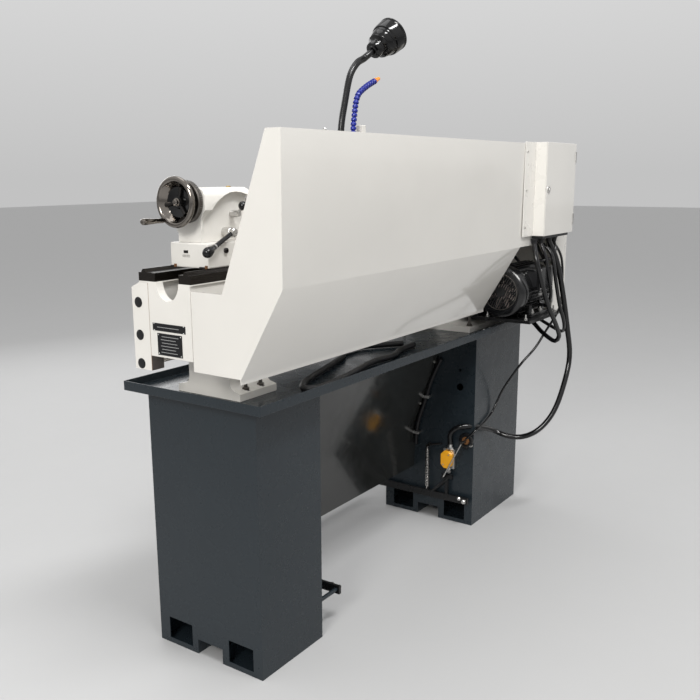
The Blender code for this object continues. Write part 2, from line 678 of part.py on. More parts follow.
def rods():
    for name, height, radius in (
        ("leadscrew", LEADSCREW_Z, 0.011),
        ("feed_rod", FEED_ROD_Z, 0.0095),
        ("control_rod", CONTROL_ROD_Z, 0.0095),
    ):
        neck, length = 0.0088, ROD_X[1] - ROD_X[0]
        profile = [
            (0, -0.014), (neck, -0.014), (neck, 0.001), (radius, 0.001), (radius, length - 0.001),
            (neck, length - 0.001), (neck, length + 0.030), (0, length + 0.030),
        ]
        made = turned(name, profile, (ROD_X[0], ROD_Y, height), (1, 0, 0), steps=20)
        finish(made, "ground_steel", pivot=(ROD_X[0], ROD_Y, height))


def handwheel(name, centre, axis, radius, hub_length, bore=0.0):
    """A dished handwheel: hub, thin web and round rim, from the hub's back face along its axis."""
    rim = 0.0068
    far = hub_length
    profile = [
        (bore, 0), (0.016, 0), (0.018, far * 0.35), (radius - rim * 1.6, far * 0.60),
        *[(radius - rim + rim * sin(radians(a)), far * 0.75 - rim * cos(radians(a)))
          for a in (-20, 20, 60, 100, 140, 180, 220)],
        (radius - rim * 2.2, far * 0.78), (0.020, far * 0.62), (0.014, far), (bore, far),
    ]
    return turned(name, profile, centre, axis, steps=24, ring=bore > 0)


def carriage():
    saddle = block("saddle", SADDLE_X, SADDLE_Y, (SLIDE_Z, SADDLE_TOP))
    for i, x in enumerate(((SADDLE_X[0] - 0.01, 0.085), (0.265, SADDLE_X[1] + 0.01))):
        cut(saddle, block(f"saddle_wing_{i}", x, (-0.058, 0.010), (1.0, 1.1)))
    bevel(saddle, 0.003)
    dial_y = SADDLE_Y[0] - 0.047
    join(saddle, block("saddle_dial_bracket", (0.150, 0.200), (dial_y, SADDLE_Y[0] + 0.010), (1.029, 1.0595)))
    finish(saddle, "cream_paint", pivot=(0.180, SPINDLE_Y, SLIDE_Z))

    apron = block("apron", APRON_X, APRON_Y, APRON_Z)
    for side, x in (("left", (0.050, 0.068)), ("right", (0.282, 0.300))):
        join(apron, block(f"apron_lug_{side}", x, (APRON_Y[1] - 0.002, -0.104), (0.775, 0.970)))
    for height in (LEADSCREW_Z, FEED_ROD_Z, CONTROL_ROD_Z):
        start, end = (0.030, ROD_Y, height), (0.320, ROD_Y, height)
        cut(apron, rod(f"apron_bore_{height}", start, end, 0.0122))
    finish(apron, "cream_paint", parent=saddle)

    front = APRON_Y[0]
    wheel = handwheel("carriage_handwheel", (0.105, front - GAP, 0.925), (0, -1, 0), 0.070, 0.034)
    grip = rod("carriage_grip", (0.105, front - 0.020, 0.984), (0.105, front - 0.090, 0.984), 0.0065, 0.009)
    finish(join(wheel, grip), "chrome", pivot=(0.105, front, 0.925), parent=saddle)

    x, z = 0.250, 0.900
    tip = (x, front - 0.026, z + 0.070)
    hub = rod("half_nut_lever", (x, front - GAP, z), (x, front - 0.018, z), 0.016)
    arm = rod("half_nut_arm", (x, front - 0.012, z), tip, 0.005, facets=14)
    join(hub, arm, ball("half_nut_ball", tip, 0.012))
    finish(hub, "chrome", pivot=(x, front, z), parent=saddle)

    # The start lever turns the control rod from a boss at the apron's right.
    inner = 0.0108
    ring = [(inner, 0), (0.018, 0), (0.018, 0.022), (inner, 0.022)]
    lever = turned("start_lever", ring, (0.302, ROD_Y, CONTROL_ROD_Z), (1, 0, 0), ring=True)
    tip = (0.313, -0.235, 0.800)
    arm = rod("start_lever_arm", (0.313, ROD_Y - 0.015, CONTROL_ROD_Z), tip, 0.006, facets=14)
    join(lever, arm, ball("start_lever_ball", tip, 0.014))
    finish(lever, "dark_steel", pivot=(0.302, ROD_Y, CONTROL_ROD_Z), parent=saddle)

    cross = block("cross_slide", CROSS_X, (-0.170, 0.060), (SADDLE_TOP + GAP, CROSS_TOP))
    finish(bevel(cross, 0.003), "ground_steel", pivot=(0.175, SPINDLE_Y, SADDLE_TOP), parent=saddle)
    handle_z = (SLIDE_Z + SADDLE_TOP) / 2
    handle = handwheel("cross_handle", (0.175, dial_y - GAP, handle_z), (0, -1, 0), 0.045, 0.036)
    grip = rod("cross_grip", (0.175, dial_y - 0.022, 1.081), (0.175, dial_y - 0.066, 1.081), 0.005, 0.007)
    finish(join(handle, grip), "chrome", pivot=(0.175, dial_y, handle_z), parent=saddle)

    swivel = rod("swivel_base", (TOOL_X, TOOL_Y, CROSS_TOP + GAP), (TOOL_X, TOOL_Y, 1.112), 0.055, facets=36)
    finish(swivel, "ground_steel", pivot=(TOOL_X, TOOL_Y, CROSS_TOP), parent=cross)
    top_x = (TOOL_X - 0.075, TOOL_X + 0.105)
    top = block("top_slide", top_x, (TOOL_Y - 0.034, TOOL_Y + 0.034), (1.112 + GAP, 1.142))
    finish(bevel(top, 0.003), "ground_steel", pivot=(TOOL_X, TOOL_Y, 1.112), parent=swivel)
    end = TOOL_X + 0.105 + GAP
    crank = handwheel("top_slide_handle", (end, TOOL_Y, 1.128), (1, 0, 0), 0.034, 0.034)
    grip = rod("top_grip", (end + 0.020, TOOL_Y, 1.154), (end + 0.056, TOOL_Y, 1.154), 0.0045, 0.006)
    finish(join(crank, grip), "chrome", pivot=(end, TOOL_Y, 1.128), parent=top)

    side, z = 0.040, (1.142 + GAP, 1.205)
    post = block("tool_post", (TOOL_X - side, TOOL_X + side), (TOOL_Y - side, TOOL_Y + side), z)
    waist = 0.020
    for i, (dx, dy) in enumerate(((1, 0), (-1, 0), (0, 1), (0, -1))):
        x = TOOL_X + dx * side
        y = TOOL_Y + dy * side
        half_x = side - waist if dx else side + OVERRUN
        half_y = side - waist if dy else side + OVERRUN
        cut(post, block(f"tool_slot_{i}", (x - half_x, x + half_x), (y - half_y, y + half_y), (1.158, 1.184)))
    finish(post, "dark_steel", pivot=(TOOL_X, TOOL_Y, z[0]), parent=top)
    hub = rod("tool_post_lever", (TOOL_X, TOOL_Y, z[1] + GAP), (TOOL_X, TOOL_Y, z[1] + 0.030), 0.016)
    tip = (TOOL_X + 0.052, TOOL_Y - 0.052, z[1] + 0.060)
    arm = rod("tool_post_lever_arm", (TOOL_X, TOOL_Y, z[1] + 0.020), tip, 0.0055, facets=14)
    join(hub, arm, ball("tool_post_lever_ball", tip, 0.012))
    finish(hub, "chrome", pivot=(TOOL_X, TOOL_Y, z[1]), parent=post)


# ---- Tailstock ----------------------------------------------------------------------------------------

BODY_Z = (1.084, 1.208)
WHEEL_X = 0.770           # back of the handwheel's hub


def tailstock():
    x = (TAILSTOCK_X[0] - 0.010, TAILSTOCK_X[1])
    base = block("tailstock_base", x, (-0.080, 0.040), (SLIDE_Z, BODY_Z[0] - GAP))
    finish(bevel(base, 0.003), "cream_paint", pivot=(0.680, SPINDLE_Y, SLIDE_Z))

    # End view of the upper casting: a neck, and a wider block round the quill. Each side has a round scoop.
    half = [
        (0.0405, BODY_Z[0]), (0.0385, 1.135), (0.0440, 1.150), (0.0530, 1.158), (0.0530, 1.190),
        (0.0460, 1.203), (0.0340, BODY_Z[1]),
    ]
    outline = [(SPINDLE_Y - y, z) for y, z in half] + [(SPINDLE_Y + y, z) for y, z in reversed(half)]
    body = prism("tailstock_body", outline, "X", TAILSTOCK_X[0], TAILSTOCK_X[1] - 0.012)
    for side in (-1, 1):
        y = sorted((SPINDLE_Y + side * 0.036, SPINDLE_Y + side * 0.080))
        scoop_at = (0.640, BODY_Z[0] + 0.004)
        hollow = prism(f"tailstock_hollow_{side}", arc(scoop_at, 0.110, -8, 188, 18), "Y", *y)
        cut(body, hollow)
    bore = rod("tailstock_bore", (0.570, *SPINDLE), (0.790, *SPINDLE), 0.0185)
    cut(body, bore)
    finish(body, "cream_paint", parent=base)

    profile = [(0, 0.010), (0.0090, 0), (0.0175, 0), (0.0175, 0.120), (0, 0.120)]
    quill = turned("quill", profile, (0.560, *SPINDLE), (1, 0, 0))
    finish(quill, "ground_steel", pivot=(0.560, *SPINDLE), parent=base)

    collar = [
        (0, -0.030), (0.0120, -0.030), (0.0120, -0.0205), (0.0490, -0.0205), (0.0490, -0.006), (0.030, 0.0),
        (0.018, 0.006), (0.044, 0.010),
        *[(0.0520 + 0.0067 * sin(radians(a)), 0.018 - 0.0067 * cos(radians(a)))
          for a in (-20, 20, 60, 100, 140, 180, 220)],
        (0.046, 0.016), (0.021, 0.012), (0.013, 0.020), (0.008, 0.024), (0, 0.024),
    ]
    wheel = turned("tailstock_handwheel", collar, (WHEEL_X, *SPINDLE), (1, 0, 0), steps=30)
    finish(wheel, "chrome", pivot=(WHEEL_X, *SPINDLE), parent=base)

    at = (SPINDLE_Y - 0.052 * 0.6, SPINDLE_Z - 0.052 * 0.8)
    profile = [
        (0, 0), (0.0045, 0), (0.0055, 0.012), (0.0068, 0.035), (0.0075, 0.058), (0.0060, 0.066),
        (0.0030, 0.069), (0, 0.069),
    ]
    grip = turned("handwheel_grip", profile, (0.7950, *at), (1, 0, 0), steps=16)
    finish(grip, "dark_steel", pivot=(0.7950, *at), parent=wheel)

    side = SPINDLE_Y + 0.0363
    lock_x, lock_z = 0.642, 1.146
    hub = rod("quill_lock_lever", (lock_x, side, lock_z), (lock_x, side + 0.026, lock_z), 0.008, facets=20)
    tip = (lock_x - 0.004, side + 0.034, 1.165)
    arm = rod("quill_lock_arm", (lock_x, side + 0.020, lock_z), tip, 0.0042, facets=12)
    join(hub, arm, ball("quill_lock_ball", tip, 0.011))
    finish(hub, "black_rubber", pivot=(lock_x, side, lock_z), parent=base)

    pivot = (0.668, 1.104)
    hub = rod("tailstock_clamp_lever", (pivot[0], side, pivot[1]), (pivot[0], side + 0.034, pivot[1]), 0.012)
    tip = (0.783, side + 0.055, 1.068)
    arm = rod("clamp_arm", (pivot[0], side + 0.026, pivot[1]), tip, 0.0055, 0.0062, facets=16)
    join(hub, arm, ball("clamp_ball", tip, 0.013))
    finish(hub, "black_rubber", pivot=(pivot[0], side, pivot[1]), parent=base)


# ---- Splash guard and electrical box ------------------------------------------------------------------

GUARD_LINE = [
    (0.300, 1.328), (0.314, 1.328), (0.311, 1.005), (0.190, 0.799), (0.190, 0.787),
]


def splash_guard():
    low_edge = -0.383
    guard = folded("splash_guard", GUARD_LINE, -GUARD_SHEET, low_edge, GUARD_X[1])
    upper = folded("guard_upper", GUARD_LINE[:3], -GUARD_SHEET, GUARD_X[0], low_edge + 0.004)
    outline = [
        (0.0485, 0.799), (0.190, 0.799), (0.311, 1.005), (0.314, 1.328), (0.274, 1.328), (0.142, 0.983),
        (0.0485, 0.983),
    ]
    end = prism("guard_end", outline, "X", GUARD_X[1] - GUARD_SHEET, GUARD_X[1])
    finish(join(guard, upper, end), "cream_paint")


def electrical_box():
    wall = 0.002
    lip_x = (GUARD_X[0] - GAP, BOX_X[1])
    outside_guard = 0.314 + GAP
    box = block("electrical_box", (BOX_X[0], lip_x[0]), BOX_Y, BOX_Z)
    lip = block("box_lip", (lip_x[0] - 0.005, lip_x[1]), (outside_guard, BOX_Y[1]), BOX_Z)
    flange = block("box_flange", (BOX_X[1] - 0.005, -0.385), (outside_guard, outside_guard + 0.0025), BOX_Z)
    join(box, lip, flange)
    inside_z = (BOX_Z[0] + wall, BOX_Z[1] - wall)
    main_x = (BOX_X[0] + wall, lip_x[0] - wall)
    side_x = (lip_x[0] - 0.010, lip_x[1] - wall)
    main = block("box_inside", main_x, (BOX_Y[0] + wall, BOX_Y[1] + OVERRUN), inside_z)
    side = block("box_inside_lip", side_x, (outside_guard + wall, BOX_Y[1] + OVERRUN), inside_z)
    finish(cut(box, main, side), "cream_paint")

    door = block("electrical_door", BOX_X, (BOX_Y[1] + GAP, BOX_Y[1] + 0.0028), BOX_Z)
    finish(door, "cream_paint", pivot=(BOX_X[0], BOX_Y[1] + 0.0028, BOX_Z[0]))


# ---- Lamp and coolant line ----------------------------------------------------------------------------

POST = (0.2295, 0.1085)   # x and y of the post that carries the coolant line
LAMP_Y = 0.080
LAMP_AIM = (-0.82, 0.18, 0.55)


def lamp_and_coolant():
    x, y = POST
    rear = SADDLE_Y[1] + GAP
    post = block("accessory_post", (x - 0.0095, x + 0.0095), (rear, rear + 0.019), (1.035, 1.363))
    shelf = block("post_foot", (x - 0.016, x + 0.016), (rear, rear + 0.024), (1.035, 1.058))
    valve = rod("post_valve", (x, y, 1.3165), (0.2735, y, 1.3165), 0.007, facets=16)
    finish(join(post, shelf, valve), "cream_paint")

    # The neck stands on the saddle's rear corner, rises, then leans over towards the chuck.
    aim = Vector(LAMP_AIM).normalized()
    tip = Vector((0.134, LAMP_Y, 1.5607))
    line = [
        (0.2825, 1.066), (0.2825, 1.150), (0.2835, 1.260), (0.2825, 1.3527), (0.2635, 1.4237),
        (0.2405, 1.4887), (0.2075, 1.5237),
    ]
    points = [Vector((x, LAMP_Y, z)) for x, z in line]
    points += [tip - aim * 0.036, tip - aim * 0.018, tip]
    neck = wire("lamp_gooseneck", points, 0.0093)
    top = SADDLE_TOP + GAP
    join(neck, rod("lamp_base", (0.2825, LAMP_Y, top), (0.2825, LAMP_Y, top + 0.014), 0.017, 0.0150))
    finish(neck, "black_enamel")

    profile = [
        (0, 0), (0.022, 0), (0.027, 0.005), (0.028, 0.022), (0.034, 0.026), (0.038, 0.052),
        (0.044, 0.057), (0.047, 0.098), (0.043, 0.098), (0.036, 0.070), (0, 0.066),
    ]
    head = turned("lamp_head", profile, tip + aim * 0.0008, aim)
    finish(head, "black_enamel")

    line = [
        (0.2675, 1.3238), (0.2672, 1.3550), (0.2615, 1.3900), (0.2545, 1.4200), (0.2440, 1.4395),
        (0.2250, 1.4530), (0.1950, 1.4680), (0.1650, 1.4800), (0.1415, 1.4895),
    ]
    hose = wire("coolant_hose", [(x, y, z) for x, z in line], 0.0076)
    finish(hose, "blue_plastic")


# ---- Foot brake ---------------------------------------------------------------------------------------

def foot_brake():
    """A treadle hung on the pedestals' studs, and the switch that stops the motor."""
    treadle = block("brake_treadle", (FAR_ARM_X[0], NEAR_ARM_X[1]), (-0.340, -0.300), (0.078, 0.100))
    for side, x in (("far", FAR_ARM_X), ("near", NEAR_ARM_X)):
        join(treadle, block(f"treadle_arm_{side}", x, (-0.310, 0.140), ARM_Z))
        start, end = (x[0] - OVERRUN, *PIVOT), (x[1] + OVERRUN, *PIVOT)
        cut(treadle, rod(f"treadle_bore_{side}", start, end, STUD_RADIUS + RUNNING))
    finish(treadle, "black_enamel", pivot=(0, *PIVOT))

    face = HEAD_STAND_X[1] + GAP
    switch = block("limit_switch", (face, face + 0.034), (0.036, 0.084), (0.208, 0.276))
    gland = rod("limit_switch_gland", (face + 0.017, 0.0655, 0.270), (face + 0.017, 0.0655, 0.299), 0.009)
    plunger = rod("limit_switch_plunger", (face + 0.017, 0.060, 0.215), (face + 0.017, 0.060, 0.194), 0.005)
    finish(join(switch, gland, plunger), "yellow_plastic")


def main():
    clear_scene()
    global PARTS, CUTTERS
    PARTS = new_collection("metal_lathe")
    CUTTERS = new_collection("cutters")
    stand()
    bed()
    headstock()
    chuck()
    headstock_controls()
    end_cover()
    motor()
    rods()
    carriage()
    tailstock()
    splash_guard()
    electrical_box()
    lamp_and_coolant()
    foot_brake()


main()
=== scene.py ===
"""Finish, fittings, light and camera for the engine lathe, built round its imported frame. Metres, +Z up."""

import json
from itertools import product
from math import cos, pi, radians, sin

import bmesh
import bpy
from mathutils import Matrix, Vector


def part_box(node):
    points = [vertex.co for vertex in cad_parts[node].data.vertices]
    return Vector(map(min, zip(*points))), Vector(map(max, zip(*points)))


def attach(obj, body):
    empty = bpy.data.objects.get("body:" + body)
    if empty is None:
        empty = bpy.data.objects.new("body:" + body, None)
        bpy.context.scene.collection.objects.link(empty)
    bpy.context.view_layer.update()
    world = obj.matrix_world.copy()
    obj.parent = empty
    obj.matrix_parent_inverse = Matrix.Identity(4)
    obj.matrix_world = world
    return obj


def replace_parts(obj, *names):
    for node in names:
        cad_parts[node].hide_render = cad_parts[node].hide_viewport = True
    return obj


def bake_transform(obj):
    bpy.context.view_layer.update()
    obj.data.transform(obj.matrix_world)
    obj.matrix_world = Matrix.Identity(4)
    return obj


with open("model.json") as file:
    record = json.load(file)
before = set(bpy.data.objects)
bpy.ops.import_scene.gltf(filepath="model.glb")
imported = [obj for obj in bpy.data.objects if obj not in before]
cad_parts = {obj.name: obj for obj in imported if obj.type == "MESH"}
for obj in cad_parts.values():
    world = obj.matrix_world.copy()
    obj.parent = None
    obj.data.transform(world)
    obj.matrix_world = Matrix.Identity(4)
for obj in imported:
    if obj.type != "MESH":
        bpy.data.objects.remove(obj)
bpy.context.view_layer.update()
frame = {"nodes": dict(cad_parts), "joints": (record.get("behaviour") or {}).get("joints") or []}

RIGHT, BACK, FRONT, UP, DOWN = (1, 0, 0), (0, 1, 0), (0, -1, 0), (0, 0, 1), (0, 0, -1)
PIVOT = {joint["name"]: Vector(joint["pos_m"]) for joint in frame["joints"] if "pos_m" in joint}
RODS = [PIVOT[name] for name in ("leadscrew_spin", "feed_rod_spin", "control_rod_turn")]

# ---- Materials ----------------------------------------------------------------------------------------


def noise(tree, vector, scale, detail=3.0, roughness=0.55):
    made = tree.nodes.new("ShaderNodeTexNoise")
    made.inputs["Scale"].default_value = scale
    made.inputs["Detail"].default_value = detail
    made.inputs["Roughness"].default_value = roughness
    tree.links.new(vector, made.inputs["Vector"])
    return made.outputs["Fac"]


def spread(tree, value, low, high, to_low, to_high):
    """Maps a value's band onto another, clamped."""
    made = tree.nodes.new("ShaderNodeMapRange")
    for name, number in (("From Min", low), ("From Max", high), ("To Min", to_low), ("To Max", to_high)):
        made.inputs[name].default_value = number
    tree.links.new(value, made.inputs["Value"])
    return made.outputs["Result"]


def blended(tree, share, first, second):
    """Mixes two colours, given as tuples or as links."""
    made = tree.nodes.new("ShaderNodeMix")
    made.data_type = "RGBA"
    tree.links.new(share, made.inputs["Factor"])
    for name, value in (("A", first), ("B", second)):
        slot = next(s for s in made.inputs if s.name == name and s.type == "RGBA")
        if isinstance(value, tuple):
            slot.default_value = (*value, 1)
        else:
            tree.links.new(value, slot)
    return next(s for s in made.outputs if s.type == "RGBA")


def finish(
    name, colour, roughness, metallic=0.0, coat=0.0, tone=0.06, patch=4.0, grain=700.0, relief=0.05,
    smudge=0.06, stretch=(1, 1, 1), marks=None, zone=None, sheen=0.5,
):
    """A surface whose tone drifts, whose gloss is uneven and which has a fine grain.

    marks is (colour, share, scale) for scuffs or stains. zone is (height, colour, roughness) for the
    part of a casting that is machined, above that height.
    """
    made = bpy.data.materials.new(name)
    made.use_nodes = True
    tree = made.node_tree
    shader = tree.nodes["Principled BSDF"]
    where = tree.nodes.new("ShaderNodeTexCoord").outputs["Object"]
    mapping = tree.nodes.new("ShaderNodeMapping")
    mapping.inputs["Scale"].default_value = stretch
    tree.links.new(where, mapping.inputs["Vector"])
    placed = mapping.outputs["Vector"]

    dark = tuple(c * (1 - tone) for c in colour)
    light = tuple(min(1.0, c * (1 + tone)) for c in colour)
    base = blended(tree, spread(tree, noise(tree, where, patch), 0.35, 0.65, 0, 1), dark, light)
    if marks:
        mark, share, scale = marks
        spots = spread(tree, noise(tree, placed, scale, 6.0, 0.7), 1 - share, 1 - share + 0.06, 0, 1)
        base = blended(tree, spots, base, mark)
    glossy, dull = max(0.03, roughness - smudge), roughness + smudge
    rough = spread(tree, noise(tree, where, patch * 5, 5.0), 0.35, 0.65, glossy, dull)
    shader.inputs["Metallic"].default_value = metallic
    if zone:
        level, machined, machined_roughness = zone
        split = tree.nodes.new("ShaderNodeSeparateXYZ")
        tree.links.new(where, split.inputs["Vector"])
        above = spread(tree, split.outputs["Z"], level, level + 0.0004, 0, 1)
        base = blended(tree, above, base, machined)
        streaks = noise(tree, placed, 160.0)
        bright = spread(tree, streaks, 0.3, 0.7, machined_roughness - 0.06, machined_roughness + 0.08)
        chosen = tree.nodes.new("ShaderNodeMix")
        tree.links.new(above, chosen.inputs["Factor"])
        tree.links.new(rough, chosen.inputs["A"])
        tree.links.new(bright, chosen.inputs["B"])
        rough = chosen.outputs["Result"]
        tree.links.new(above, shader.inputs["Metallic"])
    tree.links.new(base, shader.inputs["Base Color"])
    tree.links.new(rough, shader.inputs["Roughness"])
    shader.inputs["Specular IOR Level"].default_value = sheen
    shader.inputs["Coat Weight"].default_value = coat
    shader.inputs["Coat Roughness"].default_value = 0.08
    bump = tree.nodes.new("ShaderNodeBump")
    bump.inputs["Strength"].default_value = relief
    bump.inputs["Distance"].default_value = 0.0006
    tree.links.new(noise(tree, placed, grain, 2.0), bump.inputs["Height"])
    tree.links.new(bump.outputs["Normal"], shader.inputs["Normal"])
    return made


CREAM = (0.67, 0.65, 0.61)
ALONG_X = (1, 30, 30)
BED_WAYS, SADDLE_TOP = 0.9975, 1.0612  # heights above which the castings are bare steel
# Near-black tone of the bare ways: the greased steel's own dark colour plus a painted dark reflection of the
# surroundings
STEEL_TONE_AND_PAINTED_REFLECTION = (0.03, 0.026, 0.023)

M = {
    "cream": finish("cream_enamel", CREAM, 0.3, coat=0.25, tone=0.02, relief=0.1, grain=420),
    "cream_cast": finish(
        "cream_cast_enamel", CREAM, 0.36, coat=0.15, tone=0.03, relief=0.35, grain=260,
        zone=(BED_WAYS, STEEL_TONE_AND_PAINTED_REFLECTION, 0.3), stretch=ALONG_X,
    ),
    "cream_casting": finish("cream_casting", CREAM, 0.38, coat=0.12, tone=0.03, relief=0.3, grain=230),
    "cream_machined": finish(
        "cream_machined_top", CREAM, 0.36, coat=0.12, tone=0.03, relief=0.25, grain=260,
        zone=(SADDLE_TOP, (0.3, 0.29, 0.28), 0.28), stretch=ALONG_X,
    ),
    "guard": finish(
        "guard_enamel", CREAM, 0.16, coat=1.0, tone=0.015, relief=0.03, grain=320, smudge=0.03,
        marks=((0.655, 0.635, 0.595), 0.22, 18.0),
    ),
    "door": finish("door_enamel", CREAM, 0.1, coat=0.8, tone=0.015, relief=0.04, grain=200, smudge=0.04),
    "grey": finish(
        "blue_grey_enamel", (0.014, 0.02, 0.025), 0.28, coat=0.05, tone=0.03, relief=0.03,
        grain=300, sheen=0.35, marks=((0.017, 0.023, 0.028), 0.26, 30.0),
    ),
    "panel": finish(
        "panel_gloss", (0.02, 0.021, 0.02), 0.16, coat=0.35, tone=0.08, relief=0.1, grain=240, sheen=0.4
    ),
    "black": finish(
        "black_enamel", (0.005, 0.005, 0.0055), 0.3, coat=0.1, tone=0.1, relief=0.2, grain=350, sheen=0.35
    ),
    "motor": finish(
        "motor_enamel", (0.005, 0.005, 0.0055), 0.18, coat=0.3, tone=0.1, relief=0.1, grain=160, sheen=0.4
    ),
    "cast_black": finish(
        "cast_black", (0.007, 0.007, 0.0075), 0.42, tone=0.15, relief=0.5, grain=220, sheen=0.35
    ),
    "ground": finish(
        "ground_steel", (0.46, 0.44, 0.42), 0.26, metallic=1.0, tone=0.06, relief=0.1, grain=300,
        stretch=ALONG_X,
    ),
    "turned": finish(
        "turned_steel", (0.5, 0.48, 0.46), 0.24, metallic=1.0, tone=0.06, relief=0.12, grain=420,
        stretch=(12, 1, 1),
    ),
    "dark": finish("dark_steel", (0.13, 0.12, 0.11), 0.34, metallic=1.0, tone=0.12, relief=0.12, grain=350),
    "black_oxide": finish(
        "black_oxide", (0.035, 0.033, 0.032), 0.36, metallic=0.9, tone=0.15, relief=0.12, grain=400
    ),
    "chrome": finish(
        "dark_chrome", (0.22, 0.2, 0.18), 0.15, metallic=1.0, tone=0.08, relief=0.05, grain=260,
        marks=((0.12, 0.09, 0.07), 0.3, 40.0),
    ),
    "zinc": finish("zinc_plate", (0.6, 0.59, 0.57), 0.3, metallic=1.0, tone=0.08, relief=0.1, grain=600),
    "rubber": finish(
        "black_rubber", (0.008, 0.008, 0.009), 0.42, tone=0.15, relief=0.25, grain=500, sheen=0.3
    ),
    "cable": finish(
        "cable_sheath", (0.004, 0.004, 0.0045), 0.16, coat=0.15, tone=0.12, relief=0.08, grain=500, sheen=0.4
    ),
    "plastic": finish(
        "black_plastic", (0.003, 0.003, 0.0033), 0.09, coat=0.1, tone=0.1, relief=0.02, sheen=0.35
    ),
    "yellow": finish("yellow_plastic", (0.92, 0.42, 0.012), 0.34, tone=0.1, relief=0.3, grain=500),
    "blue": finish("blue_plastic", (0.004, 0.012, 0.2), 0.32, tone=0.12, relief=0.1, grain=500),
    "orange": finish("orange_plastic", (0.85, 0.27, 0.008), 0.35, tone=0.08, relief=0.1, grain=500),
    "red": finish("red_plastic", (0.55, 0.02, 0.015), 0.25, coat=0.4, tone=0.08, relief=0.05),
    "plate": finish(
        "etched_aluminium", (0.62, 0.62, 0.61), 0.34, metallic=1.0, tone=0.04, relief=0.1, grain=600,
        stretch=(1, 1, 20),
    ),
    "plate_black": finish(
        "etched_black", (0.01, 0.01, 0.011), 0.45, tone=0.08, relief=0.1, grain=500, sheen=0.2
    ),
    "rust": finish("way_oil", (0.15, 0.065, 0.022), 0.4, tone=0.3, relief=0.3, grain=300),
    "glass": finish("lamp_lens", (0.8, 0.8, 0.76), 0.2, tone=0.03, relief=0.25, grain=160),
    "raw": finish("raw_casting", (0.07, 0.06, 0.055), 0.7, tone=0.5, relief=1.0, grain=160),
    # Fan blades: the pale pinkish colour is painted light, standing in for the light glimpsed between the
    # cowl's bars
    "fan": finish("fan_blades_painted_light", (0.55, 0.46, 0.42), 0.45, tone=0.1, relief=0.05),
    "brass": finish("brass", (0.55, 0.38, 0.14), 0.3, metallic=1.0, tone=0.08, relief=0.08),
}

# ---- Shapes -------------------------------------------------------------------------------------------


def facing(axis):
    """The turn that points +Z along the axis."""
    return Vector(axis).to_track_quat("Z", "Y").to_matrix().to_4x4()


